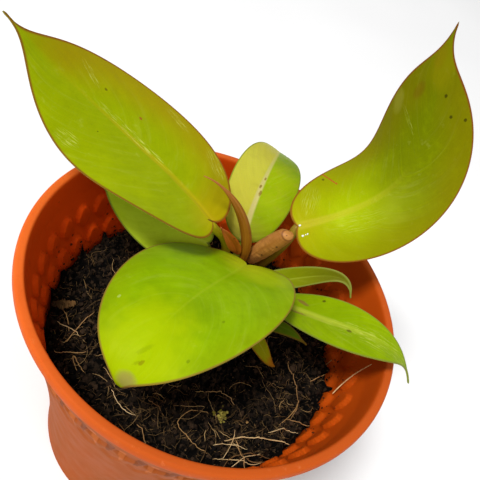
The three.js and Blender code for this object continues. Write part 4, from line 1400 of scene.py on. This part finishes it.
def crumbs(centres: Array, sizes: Array, rng: np.random.Generator) -> Skin:
    """Many rough grains: twenty-sided solids, each stretched, turned and jittered on its own.

    Args:
        centres: Their middles, one row each.
        sizes: Their radii.
        rng: Source of the seeded draws.

    Returns:
        All of the grains, with one number for each as the value "thread_tone".
    """
    number = len(centres)
    shape = ICOSAHEDRON[None] * rng.uniform(0.72, 1.25, (number, 12, 1))
    shape = shape * rng.uniform(0.6, 1.2, (number, 1, 3))
    spins = np.linalg.qr(rng.normal(size=(number, 3, 3)))[0]
    spins[:, :, 0] *= np.sign(np.linalg.det(spins))[:, None]
    points = centres[:, None, :] + sizes[:, None, None] * np.einsum("nij,nkj->nki", spins, shape)
    tris = ICOSAHEDRON_FACES[None] + (np.arange(number) * 12)[:, None, None]
    tone = np.repeat(rng.uniform(0.0, 1.0, number), 12)
    return Skin(points.reshape(-1, 3), tris=tris.reshape(-1, 3), marks={"thread_tone": tone}).outward()


CLUSTERS = (
    (-45.0, -25.0, 8.0, 9.0), (40.0, -45.0, 9.0, 6.0), (2.0, -52.0, 12.0, 5.0), (52.0, -14.0, 5.0, 12.0),
)
WALL_STRAW = ((-1.5, 105.7), (0.8, 109.0), (3.6, 116.2), (4.6, 126.3))
CRUMB = FibreFinish((8, 6, 5), (60, 45, 31), 0.94)
FIBRE = FibreFinish((24, 18, 11), (150, 118, 74))
ROOTLET = FibreFinish((92, 66, 36), (216, 178, 118), 0.7)
PALE_STRAW = FibreFinish((176, 134, 78), (240, 208, 154), 0.6)
TAN_ROOT = FibreFinish((104, 72, 40), (196, 152, 98), 0.7)

LUMPS = (
    ("clump_green", FibreFinish((112, 104, 34), (190, 176, 84)), 60, 1.1, 0.75, ((26.3, -33.4),)),
    (
        "grain_tan", FibreFinish((120, 84, 44), (178, 138, 84)), 2, 0.5, 0.7,
        ((-52.9, 2.3), (-34.0, -47.5), (36.5, -30.0)),
    ),
)

STRAWS = (
    ("straw_pale", PALE_STRAW, 0.23, 0.8, (
        [[31, -42.6], [36.5, -37.8], [42.1, -35.3], [50.3, -31.1], [55.9, -29.9]],
    )),
    ("straw_thin", PALE_STRAW, 0.13, 0.7, (
        [[12.9, -29.2], [23.3, -24.2], [29.2, -27]],
        [
            [21.2, -36], [17.6, -35.7], [13.8, -39.1], [12.3, -42], [11.8, -44.7], [13.2, -45.8],
            [21.7, -50.3], [27.2, -49.8],
        ],
        [
            [-30.2, -44.9], [-33.7, -43.2], [-36.4, -40.2], [-35.1, -40.2], [-32.9, -42.3],
            [-29.8, -43.5], [-28.3, -43.7],
        ],
        [[28, -45.5], [35, -41.5], [40.5, -41]],
        [[33.5, -48.5], [34.5, -42], [33, -36.5]],
        [[37.5, -50], [40.5, -44.5], [46, -40]],
        [[30, -50.5], [36.5, -47], [43, -46.5], [47.5, -43]],
        [[-50, -30], [-44, -29], [-38, -31.5]],
        [[-54, -22], [-47, -26], [-42.5, -33]],
        [[-16, -46], [-10, -49.5], [-3, -50.5]],
        [[49, -25], [52.5, -18], [53.5, -10]],
        [[46, -30], [52, -25.5], [57.5, -24]],
    )),
    ("root_tan", TAN_ROOT, 0.16, 0.8, (
        [[-43.2, -42.2], [-39, -40.4], [-35.1, -37.6], [-32.9, -35.8]],
        [[-41.9, -37], [-41.5, -28], [-41.1, -23.5], [-40.1, -17.8]],
        [[34.6, -52.2], [35.3, -47.4], [38.9, -43.6], [44.4, -41.4], [50.4, -39.2]],
        [[34.9, -39.6], [37.4, -41.8], [40.8, -46.7], [43.4, -48.6]],
        [[41.3, -44.9], [45.6, -44.4], [48.8, -41.5]],
        [[41.1, 7.7], [44.6, 0.3], [49.7, -4.1], [53.7, -11.5], [52.7, -20.1]],
        [[50.7, -21.3], [55.5, -20.2], [61, -18.4]],
        [[60, 13.6], [62.6, 19.5], [63.7, 23.2]],
        [[55.3, 0.7], [58.5, 5.4], [61.7, 10.4]],
        [[-7, -55.1], [-3.9, -57.3], [-1.5, -59.4]],
        [[-1.1, -52.2], [1.7, -53.3], [3.8, -56.1], [6.2, -59.2]],
        [[-2, -42], [2.4, -43.4], [6.5, -44.3]],
        [[-29.4, -4.1], [-28.3, 2.4], [-26.6, 6.7]],
    )),
)


@dataclass
class Litter:
    """What lies on the soil: crumbs, fine fibres, and the straws and roots that the photograph shows."""

    bed: SoilBed
    seed: int = 47
    grain_count: int = 6500
    fibre_count: int = 1900
    root_count: int = 70
    wall_count: int = 420
    stations: int = 10

    def _scatter(self, rng: np.random.Generator, sizes: Array, clustered: int = 0) -> Array:
        """Random places on the soil, clear of the wall; the first ones lie in the clusters of the table."""
        share = np.sqrt(rng.uniform(0.0, 1.0, len(sizes)))
        turn = rng.uniform(0.0, FULL_TURN, len(sizes))
        spots = polar(share, turn, 0.0)[:, :2].copy()
        chosen = np.array(CLUSTERS)[rng.integers(0, len(CLUSTERS), clustered)] / 66.0
        spots[:clustered] = chosen[:, :2] + rng.normal(0.0, 1.0, (clustered, 2)) * chosen[:, 2:]
        far = np.linalg.norm(spots, axis=-1)
        spots *= np.where(far > 1.0, np.maximum(2.0 - far, 0.1) / far, 1.0)[:, None]
        reach = self.bed.edge(np.arctan2(spots[:, 1], spots[:, 0]))[0] - 1.3 * sizes
        x, y = (spots * reach[:, None]).T
        return np.stack([x, y, self.bed.height(x, y)], axis=-1)

    def _grains(self) -> None:
        """Crumbs from dust to small lumps; their sizes follow 0.3 + 1.1 u^5."""
        rng = np.random.default_rng(self.seed)
        sizes = 0.3 + 1.1 * rng.uniform(0.0, 1.0, self.grain_count) ** 5
        centres = self._scatter(rng, sizes)
        centres[:, 2] += 0.2 * sizes
        skin = crumbs(centres, sizes, rng)
        write_piece("soil_crumbs", skin, CRUMB.build("soil_crumb"), (), 25.0)

    def _threads(
        self, rng: np.random.Generator, length: Array, radii: Array, bend: float, rise: float
    ) -> Skin:
        """Fine fibres: evenly bent arcs that lie just above the crumbs, a third of them in the clusters.

        Args:
            rng: Source of the seeded draws.
            length: Length of each fibre.
            radii: Radius of each fibre.
            bend: Spread of the turn from end to end, in radians.
            rise: Height of the fibres' middles over the crumbs.

        Returns:
            The fibres that lie whole on the soil.
        """
        count = len(length)
        start = self._scatter(rng, 0.35 * length, count // 3)
        share = np.linspace(-0.5, 0.5, self.stations)
        turn = rng.uniform(0.0, FULL_TURN, count)[:, None] + rng.normal(0.0, bend, count)[:, None] * share
        turn = turn + rng.normal(0.0, 0.5 * bend, count)[:, None] * np.sin(FULL_TURN * share)
        x = start[:, :1] + np.cumsum(np.cos(turn) * length[:, None] / self.stations, axis=1)
        y = start[:, 1:2] + np.cumsum(np.sin(turn) * length[:, None] / self.stations, axis=1)
        edge = self.bed.edge(np.arctan2(y, x).ravel())[0].reshape(x.shape)
        keep = (np.hypot(x, y) < edge - 0.4).all(axis=1)
        x, y = x[keep], y[keep]
        arch = rng.uniform(-0.1, 1.0, len(x))[:, None] * np.cos(math.pi * share)
        ground = self.bed.height(x, y)
        level = mix(ground, ground.mean(axis=1, keepdims=True), 0.5) + rise + arch
        thin = radii[keep][:, None] * (1.0 - 0.6 * np.abs(2.0 * share) ** 3)
        return threads(np.stack([x, y, level], axis=-1), thin)

    def _fibres(self) -> None:
        """Hair-fine dark fibres, and fewer, longer and paler rootlets."""
        rng = np.random.default_rng(self.seed + 1)
        length = 1.6 + 9.0 * rng.uniform(0.0, 1.0, self.fibre_count) ** 2.4
        skin = self._threads(rng, length, rng.uniform(0.05, 0.1, self.fibre_count), 0.55, 0.25)
        write_piece("soil_fibres", skin, FIBRE.build("soil_fibre"))
        length = 5.0 + 13.0 * rng.uniform(0.0, 1.0, self.root_count) ** 1.6
        skin = self._threads(rng, length, rng.uniform(0.08, 0.14, self.root_count), 0.9, 0.8)
        write_piece("soil_rootlets", skin, ROOTLET.build("rootlet"))

    def _lay(self, route: Points, radius: float, rise: float) -> Skin:
        """A root or straw along a route over the soil, a little arched, thin at its ends."""
        line = rounded(route, 3)
        arc = arc_lengths(line)
        share = np.linspace(0.0, 1.0, max(16, int(arc[-1] * 1.6)))
        way = share * arc[-1]
        x, y = (np.interp(way, arc, line[:, k]) for k in (0, 1))
        ground = self.bed.height(x, y)
        soft = np.convolve(np.pad(ground, 4, mode="edge"), np.full(9, 1.0 / 9.0), mode="valid")
        level = np.maximum(soft, ground) + radius + 0.45 + rise * np.sin(math.pi * share) ** 2
        wobble = 1.0 + 0.12 * np.sin(way * 0.9 + 5.0 * radius) + 0.08 * np.sin(way * 2.3)
        radii = radius * wobble * (1.0 - 0.55 * np.abs(2.0 * share - 1.0) ** 6)
        skin = tube(np.stack([x, y, level], axis=-1), radii, 10, np.array([0.02, 0.05, 1.0]))
        skin.marks["thread_tone"] = np.full(len(skin.points), (radius * 7.31 + arc[-1] * 0.137) % 1.0)
        return skin

    def _wall_straw(self) -> Skin:
        """The white straw that leans on the inside of the wall, held its own radius off it."""
        degrees, z = rounded(WALL_STRAW, 3).T
        pot = self.bed.pot
        centres = polar(pot.body_radius(z) - pot.wall - pot.relief_depth - 0.2, np.radians(degrees), z)
        radii = 0.24 * (1.0 - 0.6 * np.linspace(-1.0, 1.0, len(centres)) ** 6)
        skin = tube(centres, radii, 10, np.array([1.0, 0.1, 0.3]))
        skin.marks["thread_tone"] = np.full(len(skin.points), 0.9)
        return skin

    def _wall_crumbs(self) -> None:
        """Crumbs that cling to the wall above the soil, thick at the edge and few higher up."""
        rng = np.random.default_rng(self.seed + 2)
        turn = rng.uniform(-math.pi, math.pi, self.wall_count)
        sizes = 0.18 + 0.5 * rng.uniform(0.0, 1.0, self.wall_count) ** 3
        z = self.bed.edge(turn)[1] + 0.3 + 12.0 * rng.uniform(0.0, 1.0, self.wall_count) ** 3.2
        skin = crumbs(polar(self.bed.pot.inner_radius(turn, z) - 0.45 * sizes, turn, z), sizes, rng)
        write_piece("wall_crumbs", skin, CRUMB.build("wall_crumb"), (), 25.0)

    def _lumps(self) -> None:
        """The yellow-green clump and the tan grains: small heaps of rough grains."""
        rng = np.random.default_rng(self.seed + 3)
        for name, finish, count, spread, size, places in LUMPS:
            middles = np.repeat(np.array(places), count, axis=0)
            x, y = (middles + rng.normal(0.0, spread, middles.shape)).T
            sizes = size * rng.uniform(0.6, 1.1, len(x))
            centres = np.stack([x, y, self.bed.height(x, y) + 0.5 * sizes], axis=-1)
            write_piece(name, crumbs(centres, sizes, rng), finish.build(f"{name}_grain"), (), 25.0)

    def build(self) -> None:
        """Makes the litter."""
        self._grains()
        self._fibres()
        self._wall_crumbs()
        self._lumps()
        for name, finish, radius, rise, routes in STRAWS:
            skins = [self._lay(route, radius, rise) for route in routes]
            if name == "straw_pale":
                skins.append(self._wall_straw())
            write_piece(name, joined(skins), finish.build(f"{name}_fibre"))


@dataclass
class Horn:
    """A closed tube along a bent path, flattened, with an optional groove where its edge overlaps."""

    name: str
    node: str
    slot: Slot
    path: Points
    radius: Callable[[Array], Array]
    flatten: float
    upright: tuple[float, float, float]
    groove: float
    groove_turn: float
    wrinkle: float
    finish: Union[SheathFinish, FibreFinish]
    slant_mm: float = 0.0
    dimple_mm: float = 0.0
    stations: int = 90
    sides: int = 48

    def build(self) -> None:
        """Makes the piece: radius(t) times 1 less a groove and fine wrinkles, squashed along its upright."""
        t = np.linspace(0.0, 1.0, self.stations)
        centres = bezier(self.path, t)
        wrinkles = LatticeNoise(len(self.name) * 7)

        def section(along: Array, around: Array) -> Array:
            """Share of the radius: flattening, the spiral groove, and wrinkles across."""
            gap = signed(around - self.groove_turn - 1.1 * along)
            lap = self.groove * hump(gap, 0.16) - 0.5 * self.groove * hump(gap - 0.42, 0.3)
            squash = 1.0 / np.sqrt(np.cos(around) ** 2 + (np.sin(around) / self.flatten) ** 2)
            ripples = wrinkles.layers(polar(1.3, around, along * 34.0)[..., [2, 0, 1]], 3)
            return squash * (1.0 - lap) + self.wrinkle * ripples

        skin = tube(centres, self.radius(t), self.sides, np.array(self.upright), section)
        end = unit(centres[-1] - centres[-2])
        shift = self.slant_mm * smooth(t, 0.82, 1.0)[:, None] * np.cos(turns(self.sides))
        skin.points[:-2] += shift.reshape(-1, 1) * end
        skin.points[-1] -= self.dimple_mm * end
        skin.marks["thread_tone"] = skin.marks["tube_place"][:, 0].copy()
        write_piece(self.name, skin, self.finish.build(f"{self.name}_skin"), [self.node], 60.0)


HORNS = [
    Horn(
        "crown_stem", "crown", Slot.STEM, [[4, 12, 88], [4, 12, 104], [4.6, 15, 116], [5, 17, 124.2]],
        lambda t: mix(6.0, 4.8, t) * (1.0 - 0.35 * smooth(t, 0.94, 1.0)),
        1.0, (0.05, 1.0, 0.1), 0.1, 1.0, 0.05,
        SheathFinish((120, 118, 40), (150, 142, 62), (110, 84, 40), 0.5, 0.86),
    ),
    Horn(
        "new_leaf_roll", "new_leaf", Slot.NEW_LEAF,
        [
            [3.2, 18.6, 128.6], [3.5, 17.8, 134.2], [1.9, 17.4, 146.2], [-8, 16, 160], [-17, 12, 166],
            [-24.5, 9, 167],
        ],
        lambda t: (1.5 + 0.9 * np.sin(math.pi * np.minimum(1.0, 1.25 * t)) - 1.25 * t * t)
        * (1.0 - 0.35 * smooth(t, 0.6, 0.95)),
        0.85, (0.1, -0.9, 0.4), 0.14, 0.9, 0.0,
        SheathFinish(
            (134, 78, 12), (160, 104, 24), (178, 104, 50), 0.06, 0.6, 16.0, roughness=0.38, relief=0.15,
        ),
    ),
    Horn(
        "sheath_brown_tube", "sheath_brown", Slot.DRY,
        [[6.4, 23.4, 127.3], [7.2, 20.8, 134.5], [10.4, 19, 145.5], [14.4, 20.2, 153.8]],
        lambda t: (2.2 + 1.7 * np.sin(math.pi * (0.1 + 0.72 * t)))
        * np.sqrt(1.0 - 0.7 * np.maximum(0.0, (t - 0.9) / 0.1) ** 2),
        0.82, (0.2, -0.9, 0.3), 0.06, 2.4, 0.03,
        SheathFinish(
            (170, 110, 46), (198, 136, 68), (154, 96, 36), 0.6, 0.3, 22.0, 0.75, relief=0.45,
            dark=(104, 56, 20), hood_line=0.985,
            spots=((0.46, 0.24, 0.5), (0.75, 0.2, 0.55), (0.98, 0.3, 0.3)),
        ),
        slant_mm=0.6, dimple_mm=0.4,
    ),
    Horn(
        "bark_flake", "bark_chip", Slot.BARK,
        [[-56.4, -24.4, 94.8], [-53.5, -23, 95.6], [-51.4, -21.2, 94.2], [-48.6, -18.8, 95.5]],
        lambda t: (0.7 + 1.3 * np.sin(math.pi * t))
        * (1.0 + 0.22 * np.sin(9.0 * t) * np.sin(21.0 * t + 1.0)),
        0.42, (0.1, -0.1, 1.0), 0.22, 0.7, 0.42, FibreFinish((56, 40, 22), (118, 88, 50), 0.9),
    ),
]


@dataclass
class Bract:
    """The red-brown dry bract: a small folded blade."""

    blade: Blade
    finish: SheathFinish

    def build(self) -> None:
        """Makes the bract."""
        material = self.finish.build("sheath_red_skin", "leaf_place")
        skin = self.blade.skin(70, 14, 5, 0.3)
        write_piece("sheath_red_bract", skin, material, ["sheath_red"], 50.0)


RED_BRACT = Bract(
    Blade(
        [[0.2, 16.9, 132.1], [-1.3, 15.5, 137.6], [-5.1, 11.9, 143.2], [-10.4, 8, 149.4]],
        [[-0.2, -0.75, 0.6], [-0.2, -0.75, 0.6], [-0.2, -0.7, 0.65]], 3.3,
        [[0, 0], [0, 0.4], [0.08, 0.95], [0.38, 1.4], [0.7, 0.75], [0.9, 0.2], [1, 0]],
        [[0] * 5] * 2, 0.5, (0.0, 0.0),
    ),
    SheathFinish((164, 78, 12), (178, 98, 30), (158, 84, 36), 0.25, 0.7, 7.0),
)


@dataclass
class Drops:
    """Drops of water on the right leaf: flattened domes with a slightly uneven outline.

    A place is the flat coordinates on the blade and the drop's radius.
    """

    blade: Blade
    places: tuple[tuple[float, float, float], ...] = (
        (1.1, -0.1, 0.48), (1.2, 4.3, 0.5), (3.3, 4.0, 0.34), (2.5, 4.1, 0.26),
    )
    flatness: float = 0.62
    level: float = 0.4
    rings: int = 14
    sides: int = 28

    def build(self) -> None:
        """Makes the drops as rings of points from the top of each dome to its foot just inside the leaf."""
        s, q, size = np.array(self.places).T
        skins = []
        turn = turns(self.sides)
        sink = np.linspace(0.0, math.pi, self.rings + 1)[1:-1, None]
        for point, normal, radius in zip(*self.blade.surface(s, q), size):
            side = unit(np.cross(normal, UP))
            uneven = 1.0 + 0.14 * np.cos(2.0 * turn + radius * 9.0) + 0.06 * np.cos(3.0 * turn)
            over = self.level + self.flatness * radius * np.cos(sink)
            flat = polar(radius * np.sin(sink) * uneven, turn, over)
            poles = point + normal * (self.level + self.flatness * radius * np.array([[1.0], [-1.0]]))
            skins.append(capped(point + flat @ np.stack([side, np.cross(normal, side), normal]), *poles))
        write_piece("water_drops", joined(skins), WaterFinish().build("water"))


@dataclass
class Stage:
    """Camera at the photograph's place, pale floor, and soft studio light from the left and above."""

    camera_mm: tuple[float, float, float] = (0.0, -149.194, 298.804)
    right: tuple[float, float, float] = (0.87037491, 0.34429688, 0.35200451)
    down: tuple[float, float, float] = (0.49234305, -0.59871111, -0.63177791)
    forward: tuple[float, float, float] = (-0.00677015, 0.72319062, -0.6906153)
    focal_mm: float = 42.0
    floor_half: float = 4.0
    floor_tones: tuple[Colour, Colour] = ((243.445, 243.445, 243.445), (246.987, 246.987, 246.987))
    light_size: float = 0.8
    sky_strength: float = 0.47

    def _camera(self) -> None:
        """Sets the camera with its measured place and axes."""
        data = bpy.data.cameras.new("photo_camera")
        data.lens = self.focal_mm
        data.sensor_width = 36.0
        data.clip_start = 0.01
        camera = placed("photo_camera", data)
        axes = np.eye(4)
        axes[:3, :3] = np.stack([self.right, np.negative(self.down), np.negative(self.forward)], axis=-1)
        axes[:3, 3] = np.array(self.camera_mm) * MM
        camera.matrix_world = Matrix(axes.tolist())
        bpy.context.scene.camera = camera

    def _floor(self) -> None:
        """Lays a wide pale floor under the pot."""
        g = Graph("studio_floor")
        haze = g.noise(g.place, 3.0, 2.0)
        colour = g.stain(*self.floor_tones, haze, 0.3, 0.7)
        mesh = bpy.data.meshes.new("floor")
        half = self.floor_half
        corners = [(-half, -half, 0), (half, -half, 0), (half, half, 0), (-half, half, 0)]
        mesh.from_pydata(corners, [], [(0, 1, 2, 3)])
        mesh.materials.append(g.finish(colour, g.step(haze, 0.3, 0.7, 0.85, 0.95), Specular_IOR_Level=0.1))
        placed("floor", mesh)

    def _light(self, name: str, place: Sequence[float], watts: float, target: Sequence[float]) -> None:
        """Adds a square soft light that points at the target, all in metres."""
        data = bpy.data.lights.new(name, "AREA")
        data.shape = "SQUARE"
        data.size = self.light_size
        data.energy = watts
        light = placed(name, data)
        light.rotation_euler = (Vector(target) - Vector(place)).to_track_quat("-Z", "Y").to_euler()
        light.location = place

    def build(self) -> None:
        """Sets up the camera, the floor, the lights and the world."""
        self._camera()
        self._floor()
        self._light("key", (-1.2, -1.5, 3.5), 126.0, (0.0, 0.0, 0.14))
        self._light("fill", (0.75, -0.75, 0.9), 3.0, (0.0, 0.0, 0.12))
        world = bpy.data.worlds.new("studio")
        world.use_nodes = True
        sky = world.node_tree.nodes["Background"]
        sky.inputs["Color"].default_value = (1.0, 1.0, 1.0, 1.0)
        sky.inputs["Strength"].default_value = self.sky_strength
        bpy.context.scene.world = world
        bpy.context.scene.view_settings.view_transform = "Standard"


def main() -> None:
    """Builds the stage and every piece, and notes the sizes."""
    logging.basicConfig(level=logging.INFO, format="%(name)s: %(message)s")
    pot = Pot(PlasticFinish())
    bed = SoilBed(pot, SoilFinish())
    for part in (Stage(), pot, bed, Litter(bed), *LEAVES, Drops(LEAVES[1].blade), *HORNS, RED_BRACT):
        part.build()


if __name__ == "__main__":
    main()
